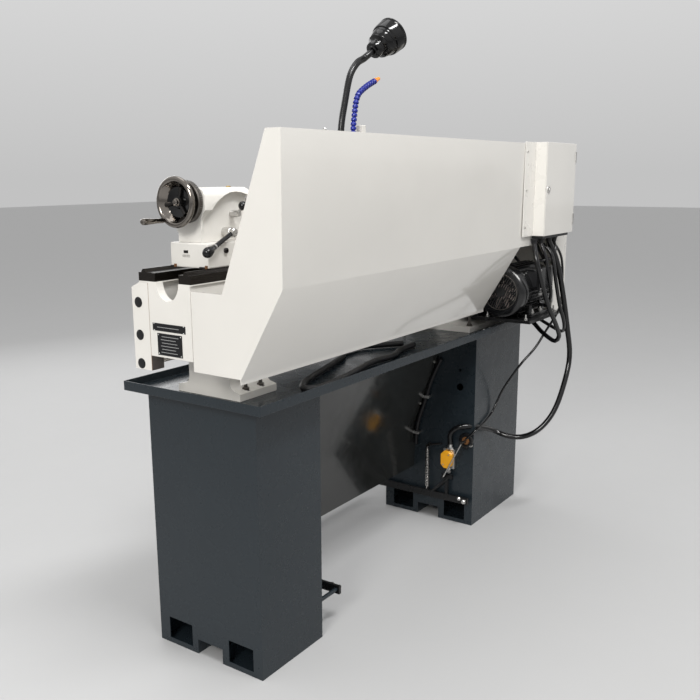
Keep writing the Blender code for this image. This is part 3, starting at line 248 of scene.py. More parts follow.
class Shape:
    """Collects simple solids into one piece."""

    def __init__(self):
        self.bm = bmesh.new()

    def place(self, before, matrix):
        fresh = [v for v in self.bm.verts if v not in before]
        bmesh.ops.transform(self.bm, matrix=matrix, verts=fresh)
        return self

    def block(self, matrix):
        """A cube of one metre, sized and placed by the matrix."""
        before = set(self.bm.verts)
        bmesh.ops.create_cube(self.bm, size=1.0)
        return self.place(before, matrix)

    def box(self, low, high):
        low, high = Vector(low), Vector(high)
        return self.block(Matrix.Translation((low + high) / 2) @ Matrix.Diagonal(high - low).to_4x4())

    def bar(self, start, end, radius, end_radius=None, steps=20):
        before = set(self.bm.verts)
        start, end = Vector(start), Vector(end)
        along = end - start
        bmesh.ops.create_cone(
            self.bm, cap_ends=True, segments=steps, radius1=radius,
            radius2=radius if end_radius is None else end_radius, depth=along.length,
        )
        return self.place(before, Matrix.Translation((start + end) / 2) @ facing(along))

    def ball(self, at, radius, steps=24):
        before = set(self.bm.verts)
        bmesh.ops.create_uvsphere(self.bm, u_segments=steps, v_segments=steps * 2 // 3, radius=radius)
        return self.place(before, Matrix.Translation(at))

    def turned(self, profile, at, axis, steps=40):
        """A turned solid from (radius, distance) points. A profile that ends off the axis is a ring."""
        before = set(self.bm.verts)
        points = [self.bm.verts.new((r, 0, d)) for r, d in profile]
        edges = [self.bm.edges.new(pair) for pair in zip(points, points[1:])]
        if profile[0][0] > 0:
            edges.append(self.bm.edges.new((points[-1], points[0])))
        bmesh.ops.spin(self.bm, geom=points + edges, cent=(0, 0, 0), axis=UP, angle=2 * pi, steps=steps)
        fresh = [v for v in self.bm.verts if v not in before]
        bmesh.ops.remove_doubles(self.bm, verts=fresh, dist=0.00001)
        return self.place(before, Matrix.Translation(at) @ facing(axis))

    def ring(self, inner, outer, low, high, at, axis, steps=40):
        return self.turned([(inner, low), (outer, low), (outer, high), (inner, high)], at, axis, steps)

    def prism(self, outline, axis, low, high):
        place = {
            "X": lambda a, b: (low, a, b), "Y": lambda a, b: (a, low, b), "Z": lambda a, b: (a, b, low),
        }[axis]
        face = self.bm.faces.new([self.bm.verts.new(place(a, b)) for a, b in outline])
        pushed = bmesh.ops.extrude_face_region(self.bm, geom=[face])["geom"]
        moved = [item for item in pushed if isinstance(item, bmesh.types.BMVert)]
        push = {"X": RIGHT, "Y": BACK, "Z": UP}[axis]
        bmesh.ops.translate(self.bm, vec=Vector(push) * (high - low), verts=moved)
        return self

    def hexagon(self, at, axis, flats, height):
        """A chamfered hexagon on a face."""
        corner = flats / cos(radians(30)) / 2
        at, axis = Vector(at), Vector(axis).normalized()
        self.bar(at, at + axis * height * 0.8, corner, steps=6)
        return self.bar(at + axis * height * 0.8, at + axis * height, corner, corner * 0.88, steps=6)

    def bolt(self, at, axis, size, stud=0.0):
        """Washer and hexagon, with a stud's end through it if it is a nut."""
        at, axis = Vector(at), Vector(axis).normalized()
        self.bar(at, at + axis * size * 0.22, size * 1.15)
        self.hexagon(at + axis * size * 0.22, axis, size * 1.7, size * 0.75)
        if stud:
            top = at + axis * size * 0.97
            self.bar(top, top + axis * stud, size * 0.5, size * 0.44)
        return self

    def screw(self, at, axis, radius, height=None):
        """A socket-head cap screw."""
        height = height or radius * 1.1
        inner = radius * 0.52
        profile = [
            (0, 0), (radius, 0), (radius, height * 0.85), (radius * 0.9, height), (inner, height),
            (inner * 0.9, height * 0.35), (0, height * 0.3),
        ]
        return self.turned(profile, at, axis, steps=12)

    def thread(self, at, axis, length, radius, pitch, depth, steps=16):
        """A screw thread's surface, with a plain core."""
        before = set(self.bm.verts)
        form = ((0.0, radius - depth), (0.25, radius), (0.5, radius), (0.75, radius - depth))
        count = int(length / pitch) * steps
        rows = []
        for k in range(count + steps + 1):
            angle = 2 * pi * k / steps
            rows.append([
                self.bm.verts.new((r * cos(angle), r * sin(angle), (k / steps - 1 + part) * pitch))
                for part, r in form
            ])
        for k in range(count):
            row, after = rows[k], rows[k + 1]
            for a in range(3):
                self.bm.faces.new((row[a], after[a], after[a + 1], row[a + 1]))
            self.bm.faces.new((row[3], after[3], rows[k + 1 + steps][0], rows[k + steps][0]))
        loose = [v for v in self.bm.verts if not v.link_faces]
        bmesh.ops.delete(self.bm, geom=loose, context="VERTS")
        self.place(before, Matrix.Translation(at) @ facing(axis))
        return self.bar(at, Vector(at) + Vector(axis) * (length - pitch), radius - depth * 1.05, steps=steps)

    def swept(self, line, radii, steps=12):
        """A round section carried along a line; radii is a number or one per point."""
        points = [Vector(p) for p in line]
        count = len(points)
        sizes = [radii] * count if isinstance(radii, float) else radii
        heading = (points[1] - points[0]).normalized()
        side = heading.orthogonal().normalized()
        rings = []
        for i, at in enumerate(points):
            onward = (points[min(i + 1, count - 1)] - points[max(i - 1, 0)]).normalized()
            side = heading.rotation_difference(onward) @ side
            heading = onward
            across = heading.cross(side)
            angles = [2 * pi * k / steps for k in range(steps)]
            rings.append([
                self.bm.verts.new(at + (side * cos(a) + across * sin(a)) * sizes[i]) for a in angles
            ])
        for ring, after in zip(rings, rings[1:]):
            for k in range(steps):
                self.bm.faces.new((ring[k], ring[(k + 1) % steps], after[(k + 1) % steps], after[k]))
        self.bm.faces.new(rings[0][::-1])
        self.bm.faces.new(rings[-1])
        return self

    def screws(self, spots, axis, radius, height=None):
        for spot in spots:
            self.screw(spot, axis, radius, height)
        return self

    def done(self, name, material, body="frame", edge=0.0, sharp=35):
        """Makes the piece, and lets it ride on its body unless that is None."""
        bmesh.ops.recalc_face_normals(self.bm, faces=self.bm.faces)
        mesh = bpy.data.meshes.new(name)
        self.bm.to_mesh(mesh)
        self.bm.free()
        mesh.shade_smooth()
        mesh.set_sharp_from_angle(angle=radians(sharp))
        mesh.materials.append(M[material])
        piece = bpy.data.objects.new(name, mesh)
        bpy.context.scene.collection.objects.link(piece)
        if edge:
            soften(piece, edge)
        if body:
            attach(piece, body)
        return piece


def soften(piece, width):
    step = piece.modifiers.new("Edges", "BEVEL")
    step.width = width
    step.segments = 2
    step.limit_method = "ANGLE"
    step.angle_limit = radians(40)
    even = piece.modifiers.new("Normals", "WEIGHTED_NORMAL")
    even.keep_sharp = False


def dress(node, material, edge=0.0):
    """Gives a CAD node its finish, and rounds its edges in the render."""
    piece = frame["nodes"][node]
    piece.material_slots[0].material = M[material]
    if edge:
        weld = piece.modifiers.new("Weld", "WELD")
        weld.merge_threshold = 0.00001
        flat = piece.modifiers.new("Planes", "DECIMATE")
        flat.decimate_type = "DISSOLVE"
        flat.angle_limit = radians(1)
        soften(piece, edge)


def smooth(points, step):
    """A smooth line through the points, as points about one step apart."""
    points = [Vector(p) for p in points]
    padded = [points[0] * 2 - points[1], *points, points[-1] * 2 - points[-2]]
    line = []
    for before, start, end, after in zip(padded, padded[1:], padded[2:], padded[3:]):
        count = max(2, round((end - start).length / step))
        for k in range(count):
            t = k / count
            line.append(0.5 * (
                2 * start + (end - before) * t + (2 * before - 5 * start + 4 * end - after) * t * t
                + (3 * start - before - 3 * end + after) * t ** 3
            ))
    return [*line, points[-1]]


def tube(name, points, radius, material="cable"):
    Shape().swept(smooth(points, 0.012), radius).done(name, material, sharp=60)


# ---- CAD nodes ----------------------------------------------------------------------------------------

DRESSED = (  # finish, rounding of the edges, nodes
    ("grey", 0.0015, "tail_pedestal head_pedestal"),
    ("panel", 0.0008, "stand_panel"),
    ("grey", 0.0012, "chip_tray"),
    ("cream_cast", 0.0015, "bed"),
    ("cream_casting", 0.0025, "leadscrew_bracket tailstock_body"),
    ("cream_casting", 0.004, "headstock feed_gearbox"),
    ("cream_casting", 0.0, "headstock_lid tailstock_base"),
    ("ground", 0.0, "rear_bearing front_bearing cross_slide top_slide"),
    ("black", 0.001, "motor_mount motor_fan_cowl"),
    ("rubber", 0.0, "drive_belt"),
    ("guard", 0.0006, "splash_guard"),
    ("cream", 0.0008, "electrical_box"),
    ("door", 0.001, "electrical_door"),
    ("turned", 0.0006, "spindle quill"),
    ("dark", 0.0, "spindle_gear stud_gear input_shaft idler_gear feed_gear motor_pulley"),
    ("turned", 0.0, "chuck_body feed_rod control_rod leadscrew"),
    ("dark", 0.0008, "chuck_jaw_1 chuck_jaw_2 chuck_jaw_3"),
    ("chrome", 0.0, (
        "speed_lever feed_selector carriage_handwheel half_nut_lever cross_handle "
        "top_slide_handle tool_post_lever tailstock_handwheel handwheel_grip"
    )),
    ("cream", 0.0, "end_cover"),
    ("cream_machined", 0.0, "saddle"),
    ("cream_casting", 0.003, "apron"),
    ("cream", 0.0012, "accessory_post"),
    ("black_oxide", 0.0, "start_lever"),
    ("ground", 0.0008, "swivel_base"),
    ("black_oxide", 0.0012, "tool_post"),
    ("plastic", 0.0, "quill_lock_lever tailstock_clamp_lever"),
    ("black", 0.002, "brake_treadle"),
    ("yellow", 0.0015, "limit_switch"),
    ("cast_black", 0.001, "motor_body"),
    ("black", 0.0, "lamp_gooseneck lamp_head"),
    ("blue", 0.0, "coolant_hose"),
)
for material, edge, nodes in DRESSED:
    for node in nodes.split():
        dress(node, material, edge)

# ---- Tail end of the bed ------------------------------------------------------------------------------


def ruled_plate(name, x, y, z, normal, body, rows, ground="plate_black", rule="plate"):
    """A blank plate with ruled lines. x, y and z are its spans; the one along the normal is its depth."""
    axis = next(i for i in range(3) if normal[i])
    low, high = Vector((x[0], y[0], z[0])), Vector((x[1], y[1], z[1]))
    Shape().box(low, high).done(name, ground, body, edge=0.0003)
    face = high[axis] if normal[axis] > 0 else low[axis]
    lines = Shape()
    wide = 1 if axis == 0 else 0
    span = high[wide] - low[wide]
    for i in range(rows):
        level = low.z + (high.z - low.z) * (i + 1) / (rows + 1)
        a, b = low.copy(), high.copy()
        a[wide] += span * (0.14 + 0.04 * (i % 2))
        b[wide] -= span * (0.14 + 0.06 * ((i + 1) % 3))
        a.z, b.z = level - 0.0007, level + 0.0007
        a[axis], b[axis] = sorted((face, face + normal[axis] * 0.0002))
        lines.box(a, b)
    for u, v in product((0.05, 0.95), (0.07, 0.93)):  # a rivet in each corner
        at = low.lerp(high, 0.5)
        at[wide] = low[wide] + span * u
        at.z = low.z + (high.z - low.z) * v
        at[axis] = face
        lines.ball(at, 0.0016, steps=10)
    lines.done(f"{name}_rules", rule, body)


def bed_details():
    low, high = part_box("bed")
    end = high.x
    ruled_plate("bed_strip", (end, end + 0.0008), (-0.077, 0.029), (0.884, 0.902), RIGHT, "frame", 1)
    ruled_plate("bed_plate", (end, end + 0.0008), (-0.063, 0.017), (0.827, 0.879), RIGHT, "frame", 6)

    plugs = Shape()
    for rod in RODS:
        profile = [(0, 0), (0.0125, 0), (0.0125, 0.0006), (0.0112, 0.0012), (0, 0.0009)]
        plugs.turned(profile, (end, rod.y, rod.z), RIGHT)
    plugs.done("bracket_plugs", "rubber")

    low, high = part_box("leadscrew_bracket")
    joint = high.y
    start = (low.x - 0.0003, joint - 0.0002, low.z + 0.001)
    stop = (end + 0.0003, joint + 0.0005, high.z - 0.001)
    Shape().box(start, stop).done("bracket_joint", "rust")
    Shape().box((low.x + 0.0005, joint - 0.0002, low.z + 0.0005), (end - 0.0005, joint + 0.0006, 0.8215)) \
        .done("bracket_bare_side", "raw")
    Shape().screws([(0.811, low.y, z) for z in (0.828, 0.907, 0.975)], FRONT, 0.0055, 0.004) \
        .done("bracket_screws", "black_oxide")

    anchors = Shape()
    flange = 0.7241
    for x, y in (
        (0.617, 0.065), (0.672, 0.065), (0.6, -0.108), (0.683, -0.108), (-0.67, 0.117), (-0.43, 0.117),
        (-0.67, -0.14), (-0.43, -0.14),
    ):
        anchors.bolt((x, y, flange), UP, 0.0095, stud=0.024)
    anchors.done("anchor_bolts", "dark")

    # Rack under the front way, teeth down.
    pitch, top = 0.0047, 0.9945
    start, stop = -0.335, 0.785
    outline = [(start, top), (start, top - 0.01)]
    for k in range(int((stop - start) / pitch)):
        x = start + k * pitch
        for share, deep in ((0.12, 0.0165), (0.38, 0.0165), (0.62, 0.0125), (0.88, 0.0125)):
            outline.append((x + pitch * share, top - deep))
    outline += [(stop, top - 0.01), (stop, top)]
    Shape().prism(outline, "Y", -0.1018, -0.0873).done("rack", "dark")
    heads = [(-0.27 + k * 0.145, -0.1018, top - 0.005) for k in range(8)]
    Shape().screws(heads, FRONT, 0.0038, 0.0012).done("rack_screws", "black_oxide")


def graduated(shape, at, axis, radius, count, low, high):
    """Short lines round a dial, every fifth one longer."""
    axis = Vector(axis).normalized()
    side = axis.orthogonal().normalized()
    for k in range(count):
        turn = Matrix.Rotation(2 * pi * k / count, 4, axis)
        out = turn @ side
        end = high if k % 5 == 0 else low + (high - low) * 0.6
        turned = Matrix((out, axis.cross(out), axis)).transposed().to_4x4()
        spot = Vector(at) + out * radius + axis * (low + end) / 2
        size = Matrix.Diagonal((0.0005, 0.0006, end - low, 1))
        shape.block(Matrix.Translation(spot) @ turned @ size)


def grip_shape(shape, at, axis, length, radius):
    """A turned handle: a narrow neck that swells towards a rounded end."""
    profile = [
        (0, 0), (radius * 0.62, 0), (radius * 0.62, length * 0.04), (radius * 0.75, length * 0.1),
        (radius * 0.72, length * 0.3), (radius * 0.86, length * 0.6), (radius, length * 0.86),
        (radius * 0.93, length * 0.955), (radius * 0.6, length * 0.995), (0, length),
    ]
    return shape.turned(profile, at, axis, steps=24)


def wheel(node, at, axis, radius, depth, collar, collar_span):
    """A polished handwheel: wide rim, black dish with three spokes, hub nut and graduated collar."""
    k = radius / 0.0587

    def part(name, profile, steps, material, sharp=35):
        scaled = [(r * k, d * k + depth) for r, d in profile]
        return Shape().turned(scaled, at, axis, steps).done(f"{node}_{name}", material, node, sharp=sharp)

    rim = [(0.0335, 0.004), (0.05, 0.0098)]
    for a in range(20, 241, 20):
        rim.append((0.052 + 0.0067 * sin(radians(a)), 0.018 - 0.0067 * cos(radians(a))))
    rim += [(0.044, 0.017), (0.0345, 0.0105)]
    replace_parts(part("rim", rim, 64, "chrome", sharp=50), node)
    dish = [
        (0, 0.0), (0.02, 0.0), (0.0336, 0.0045), (0.0346, 0.0098), (0.016, 0.0065), (0.0135, 0.013),
        (0, 0.013),
    ]
    part("dish", dish, 48, "plastic")
    ahead = Vector(axis).normalized()
    side = ahead.orthogonal().normalized()
    spokes = Shape()
    for i in range(3):
        out = Matrix.Rotation(radians(120 * i + 25), 4, ahead) @ side
        start = Vector(at) + ahead * (0.0085 * k + depth)
        tip = start + out * 0.0365 * k + ahead * 0.0035 * k
        spokes.bar(start + out * 0.01 * k, tip, 0.0042 * k, 0.0052 * k, steps=16)
    spokes.done(f"{node}_spokes", "black_oxide", node)
    nut = [
        (0, 0.0125), (0.0095, 0.0125), (0.0095, 0.015), (0.007, 0.0158), (0.007, 0.0205), (0.005, 0.0225),
        (0, 0.023),
    ]
    part("nut", nut, 24, "chrome")
    low, high = collar_span
    edge = 0.0012
    profile = [
        (0, low), (collar - edge, low), (collar, low + edge), (collar, high - edge * 2),
        (collar - edge * 2, high), (collar * 0.6, high + 0.002), (0, high + 0.002),
    ]
    Shape().turned(profile, at, axis, steps=64).done(f"{node}_collar", "dark", node)
    lines = Shape()
    graduated(lines, at, axis, collar, 60, low + 0.001, low + (high - low) * 0.62)
    lines.done(f"{node}_scale", "zinc", node)


def tailstock_details():
    at = PIVOT["tailstock_handwheel_spin"]
    wheel("tailstock_handwheel", at, RIGHT, 0.0587, 0.0, 0.049, (-0.0205, -0.0075))
    low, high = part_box("handwheel_grip")
    at = (low.x + 0.0002, (low.y + high.y) / 2, (low.z + high.z) / 2)
    made = grip_shape(Shape(), at, RIGHT, high.x - low.x, 0.0078)
    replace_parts(made.done("tailstock_grip", "chrome", "handwheel_grip"), "handwheel_grip")

    # Dead centre and quill scale
    low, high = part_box("quill")
    axis_y, axis_z = (low.y + high.y) / 2, (low.z + high.z) / 2
    Shape().turned(
        [(0, 0.012), (0.0105, 0.012), (0.0105, -0.008), (0.0092, -0.009), (0, -0.026)],
        (low.x, axis_y, axis_z), RIGHT,
    ).done("dead_centre", "turned", "quill")
    scale = Shape()
    for k in range(8):
        long = 0.006 if k % 5 == 0 else 0.0035
        scale.box(
            (low.x + 0.004 + k * 0.003, axis_y - long, high.z - 0.0008),
            (low.x + 0.0045 + k * 0.003, axis_y + long, high.z + 0.0001),
        )
    scale.done("quill_scale", "black_oxide", "quill")

    low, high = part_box("tailstock_base")
    body_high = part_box("tailstock_body")[1]
    wipers, felts = Shape(), Shape()
    foot = low.z + 0.0002
    for x, way in ((high.x, 1), (low.x, -1)):
        for y in ((low.y + 0.001, -0.06), (0.0135, high.y - 0.001)):
            a, b = sorted((x, x + way * 0.0035))
            wipers.box((a, y[0] + 0.001, foot), (b, y[1] - 0.001, low.z + 0.004))
            felts.box((a, y[1] - 0.006, foot), (b + 0.0006 * way, y[1] - 0.0005, low.z + 0.0075))
    wipers.done("tailstock_wipers", "rubber", "tailstock", edge=0.0004)
    felts.done("wiper_felts", "rust", "tailstock", edge=0.0004)
    # The offset index and its scale on the end of the base
    end = high.x
    Shape().box((end, -0.036, low.z + 0.0335), (end + 0.0005, -0.022, low.z + 0.04)) \
        .done("offset_mark", "black_oxide", "tailstock")
    scale = Shape()
    for k in range(11):
        y = -0.04 + k * 0.0022
        scale.box((end, y, low.z + 0.024), (end + 0.0002, y + 0.0006, low.z + 0.03))
    scale.done("offset_scale", "dark", "tailstock")
    screws = Shape()
    for y, way in ((low.y, -1), (high.y, 1)):
        screws.screw((0.7, y, low.z + 0.038), (0, way, 0), 0.0065, 0.005)
    screws.screw((0.66, low.y, low.z + 0.018), FRONT, 0.005, 0.004)
    screws.done("offset_screws", "black_oxide", "tailstock")
    oilers = Shape()
    cup = [(0, 0), (0.006, 0), (0.006, 0.0025), (0.0045, 0.0035), (0.0035, 0.0025), (0, 0.0022)]
    for x in (0.61, 0.725):
        oilers.turned(cup, (x, axis_y, body_high.z - 0.0005), UP)
    oilers.done("quill_oilers", "brass", "tailstock")

    lock = PIVOT["quill_lock_turn"]
    clamp = PIVOT["tailstock_clamp_turn"]
    stem = Shape().turned(
        [(0, 0), (0.008, 0), (0.008, 0.018), (0.0062, 0.021), (0.0062, 0.026), (0, 0.026)], lock, BACK
    )
    stem.bar(lock + Vector((0, 0.019, 0)), lock + Vector((-0.003, 0.031, 0.014)), 0.0036)
    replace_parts(stem.done("quill_lock_stem", "zinc", "quill_lock_lever"), "quill_lock_lever")
    Shape().ball(lock + Vector((-0.004, 0.034, 0.019)), 0.011, steps=32) \
        .done("quill_lock_knob", "plastic", "quill_lock_lever")
    boss = Shape().turned(
        [(0, 0), (0.012, 0), (0.012, 0.022), (0.0105, 0.024), (0.0105, 0.033), (0.0085, 0.035), (0, 0.035)],
        clamp, BACK,
    )
    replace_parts(boss.done("clamp_hub", "zinc", "tailstock_clamp_lever"), "tailstock_clamp_lever")
    tip = clamp + Vector((0.115, 0.055, -0.036))
    start = clamp + Vector((0, 0.026, 0))
    along = (tip - start).normalized()
    reach = (tip - start).length
    Shape().bar(start, start + along * (reach - 0.03), 0.0052, 0.0056) \
        .done("clamp_rod", "plastic", "tailstock_clamp_lever")
    Shape().bar(start + along * (reach - 0.0335), start + along * (reach - 0.0285), 0.0066) \
        .done("clamp_ferrule", "zinc", "tailstock_clamp_lever")
    bulb = [
        (0, 0), (0.0062, 0), (0.0072, 0.008), (0.01, 0.018), (0.012, 0.028), (0.0118, 0.035),
        (0.009, 0.041), (0.0045, 0.0438), (0, 0.0442),
    ]
    Shape().turned(bulb, start + along * (reach - 0.0285), along, steps=32) \
        .done("clamp_bulb", "plastic", "tailstock_clamp_lever")


def rod_details():
    low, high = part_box("leadscrew")
    start, stop = low.x + 0.014, high.x - 0.03
    rod = RODS[0]
    length = stop - start - 0.006
    screw = Shape().thread((start + 0.004, rod.y, rod.z), RIGHT, length, 0.011, pitch=0.006, depth=0.0022)
    screw.bar((low.x + 0.0005, rod.y, rod.z), (high.x, rod.y, rod.z), 0.0086)
    screw.bar((start, rod.y, rod.z), (start + 0.01, rod.y, rod.z), 0.0105)
    screw.bar((stop - 0.012, rod.y, rod.z), (stop, rod.y, rod.z), 0.0105)
    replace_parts(screw.done("leadscrew_thread", "turned", "leadscrew", sharp=25), "leadscrew")
    for rod, node in ((RODS[1], "feed_rod"), (RODS[2], "control_rod")):
        radius, half, floor_ = 0.0095, 0.0024, 0.0068
        outline = [(rod.y - half, rod.z + radius * 0.97), (rod.y - half, rod.z + floor_),
                   (rod.y + half, rod.z + floor_), (rod.y + half, rod.z + radius * 0.97)]
        outline += [
            (rod.y + radius * cos(radians(a)), rod.z + radius * sin(radians(a))) for a in range(70, -251, -10)
        ]
        bar = Shape().prism(outline, "X", start + 0.001, stop - 0.001)
        bar.bar((low.x + 0.0005, rod.y, rod.z), (high.x, rod.y, rod.z), 0.0066)
        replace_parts(bar.done(f"{node}_keyed", "turned", node), node)


# ---- Motor, electrical box and cables -----------------------------------------------------------------


def motor_details():
    low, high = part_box("motor_body")
    axis = PIVOT["motor_spin"]
    y, z = axis.y, axis.z
    start, end = low.x, high.x
    length = end - start
    made = Shape().turned(
        [(0.013, 0), (0.052, 0), (0.074, 0.006), (0.08, 0.014), (0.08, 0.034), (0.0755, 0.036),
         (0.0755, length - 0.012), (0.08, length - 0.01), (0.08, length), (0.013, length)],
        (start, y, z), RIGHT, steps=64,
    ).done("motor_shell", "motor")
    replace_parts(made, "motor_body")
    fins = Shape()
    for i in range(44):
        angle = 360 / 44 * i
        if 8 < angle < 62:
            continue
        out = Vector((0, cos(radians(angle)), sin(radians(angle))))
        fin = Matrix.Translation(Vector((0, y, z)) + out * 0.08) @ Matrix.Rotation(radians(angle), 4, "X")
        size = Matrix.Diagonal((length - 0.048, 0.012, 0.0022, 1))
        fins.block(Matrix.Translation(((start + end) / 2 + 0.013, 0, 0)) @ fin @ size)
    fins.done("motor_fins", "motor", edge=0.0005)
    feet, bolts = Shape(), Shape()
    for side in (-1, 1):
        foot = y + side * 0.062
        feet.box((-0.645, foot - 0.02, z - 0.0895), (-0.495, foot + 0.02, z - 0.079))
        for x in (-0.625, -0.515):
            feet.box((x - 0.008, foot - 0.01, z - 0.08), (x + 0.008, foot + 0.006, z - 0.045))
        for x in (-0.605, -0.535):
            bolts.bolt((x, y + side * 0.066, z - 0.079), UP, 0.0065, stud=0.006)
    feet.done("motor_feet", "motor", edge=0.0012)
    bolts.done("motor_bolts", "zinc")

    rear = high.y
    case = Shape().box((-0.616, y + 0.045, z + 0.002), (-0.51, rear - 0.006, z + 0.072))
    case.done("terminal_case", "motor", edge=0.003)
    Shape().box((-0.62, rear - 0.0055, z - 0.002), (-0.506, rear + 0.001, z + 0.076)) \
        .done("terminal_lid", "motor", edge=0.0025)
    corners = product((-0.612, -0.514), (rear + 0.001,), (z + 0.006, z + 0.068))
    Shape().screws(corners, BACK, 0.0032, 0.002).done("terminal_screws", "zinc")
    plate = Shape().box((-0.5095, y + 0.052, z + 0.012), (-0.5088, rear - 0.012, z + 0.062))
    plate.done("terminal_plate", "plate_black")
    gland = Shape().bar((-0.575, rear - 0.028, z + 0.003), (-0.575, rear - 0.028, z - 0.022), 0.01)
    gland.hexagon((-0.575, rear - 0.028, z - 0.004), DOWN, 0.024, 0.009)
    gland.done("terminal_gland", "zinc")

    # Fan cowl: a drum with slanted bars across its end, and the fan behind them
    low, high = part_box("motor_fan_cowl")
    back, front = low.x, high.x
    length = front - back
    drum = Shape().turned(
        [(0.07, 0), (0.086, 0), (0.0862, length - 0.012), (0.0835, length - 0.004), (0.0765, length),
         (0.056, length), (0.056, length - 0.0022), (0.074, length - 0.0025), (0.08, length - 0.01),
         (0.08, 0.001)],
        (back, y, z), RIGHT, steps=72,
    ).done("fan_cowl", "motor")
    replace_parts(drum, "motor_fan_cowl")
    bars = Shape()
    for i in range(15):
        across = -0.056 + 0.008 * i
        half = (0.057 ** 2 - across ** 2) ** 0.5
        lean = Matrix.Rotation(radians(-24), 4, "X")
        size = Matrix.Diagonal((0.002, 0.0046, half * 2, 1))
        spot = Matrix.Translation((front - 0.0012, y, z)) @ lean @ Matrix.Translation((0, across, 0))
        bars.block(spot @ size)
    bars.bar((front - 0.0022, y, z), (front + 0.0002, y, z), 0.017, steps=32)
    bars.done("cowl_bars", "black")
    Shape().ring(0.0575, 0.0605, 0, 0.0008, (front, y, z), RIGHT, steps=64).done("cowl_ring", "dark")
    # The fan's pale colour is painted light, for the light glimpsed between the cowl's bars
    fan = Shape().bar((back + 0.004, y, z), (front - 0.012, y, z), 0.024)
    for i in range(9):
        size = Matrix.Diagonal((0.022, 0.002, 0.046, 1))
        blade = Matrix.Rotation(radians(40 * i), 4, "X") @ Matrix.Translation((0, 0, 0.046))
        twist = Matrix.Rotation(radians(20), 4, "Z")
        fan.block(Matrix.Translation((back + 0.014, y, z)) @ blade @ twist @ size)
    fan.done("cooling_fan", "fan")

    mount = Shape()
    low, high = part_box("motor_mount")
    top = z - 0.0903
    for x in (low.x + 0.012, high.x - 0.012):
        mount.bolt((x, high.y - 0.02, top), UP, 0.006, stud=0.012)
        mount.bolt((x, low.y + 0.13, top), UP, 0.006, stud=0.012)
    mount.done("mount_bolts", "zinc")


BOX_BACK = 0.1207  # inner face of the electrical box's back wall
GLANDS = {  # where each cable leaves the box
    "switch_cable": (-0.59, 0.325), "loop_cable": (-0.461, 0.325), "right_cable": (-0.565, 0.3),
    "thin_cable": (-0.681, 0.3), "motor_cable": (-0.52, 0.325), "short_cable": (-0.635, 0.325),
}


def box_details():
    low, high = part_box("electrical_box")
    floor_ = low.z
    strip = Shape().box((-0.7, 0.27, floor_ - 0.009), (-0.4725, 0.349, floor_ + 0.0005))
    strip.done("gland_strip", "rubber", edge=0.0008)
    glands = Shape()
    for x, y in GLANDS.values():
        glands.hexagon((x, y, floor_ - 0.009), DOWN, 0.022, 0.006)
        glands.bar((x, y, floor_ - 0.015), (x, y, floor_ - 0.027), 0.01, 0.008)
    glands.done("cable_glands", "rubber")

    low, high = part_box("electrical_door")
    face = high.y
    lock = Shape().turned(
        [(0, -0.001), (0.0115, -0.001), (0.0115, 0.0015), (0.0095, 0.003), (0.0045, 0.003),
         (0.004, 0.0005), (0, 0.0005)],
        (high.x - 0.02, face, (low.z + high.z) / 2), BACK,
    )
    lock.done("door_lock", "zinc", "electrical_door")
    heights = (floor_ + 0.03, (low.z + high.z) / 2, high.z - 0.03)
    Shape().screws([(-0.4, 0.317, z) for z in heights], BACK, 0.004, 0.0022).done("flange_screws", "zinc")
    hinges = Shape()
    x, y = low.x + 0.0045, face + 0.0004
    for z in (floor_ + 0.045, high.z - 0.045):
        hinges.bar((x, y, z - 0.018), (x, y, z + 0.018), 0.0032)
    hinges.done("door_hinges", "zinc", "electrical_door")
    edge = Vector((0.003, 0, 0.003))
    seal = Shape().box(low + edge - Vector((0, 0.0012, 0)), Vector((high.x, low.y + 0.0002, high.z)) - edge)
    seal.done("door_back", "cream", "electrical_door")

    # Inside, seen when the door stands open
    Shape().box((-0.715, BOX_BACK + 0.01, floor_ + 0.02), (-0.505, BOX_BACK + 0.012, high.z - 0.02)) \
        .done("mounting_plate", "zinc")
    parts = Shape()
    for k in range(3):
        x = -0.69 + k * 0.06
        parts.box((x, BOX_BACK + 0.012, 1.2), (x + 0.045, BOX_BACK + 0.08, 1.275))
    parts.box((-0.69, BOX_BACK + 0.012, 1.095), (-0.61, BOX_BACK + 0.06, 1.155))
    parts.done("contactors", "black", edge=0.002)
    Shape().box((-0.595, BOX_BACK + 0.012, 1.08), (-0.525, BOX_BACK + 0.075, 1.15)) \
        .done("transformer", "raw", edge=0.002)
    Shape().box((-0.705, BOX_BACK + 0.012, 1.168), (-0.515, BOX_BACK + 0.045, 1.188)) \
        .done("wiring_duct", "plate")


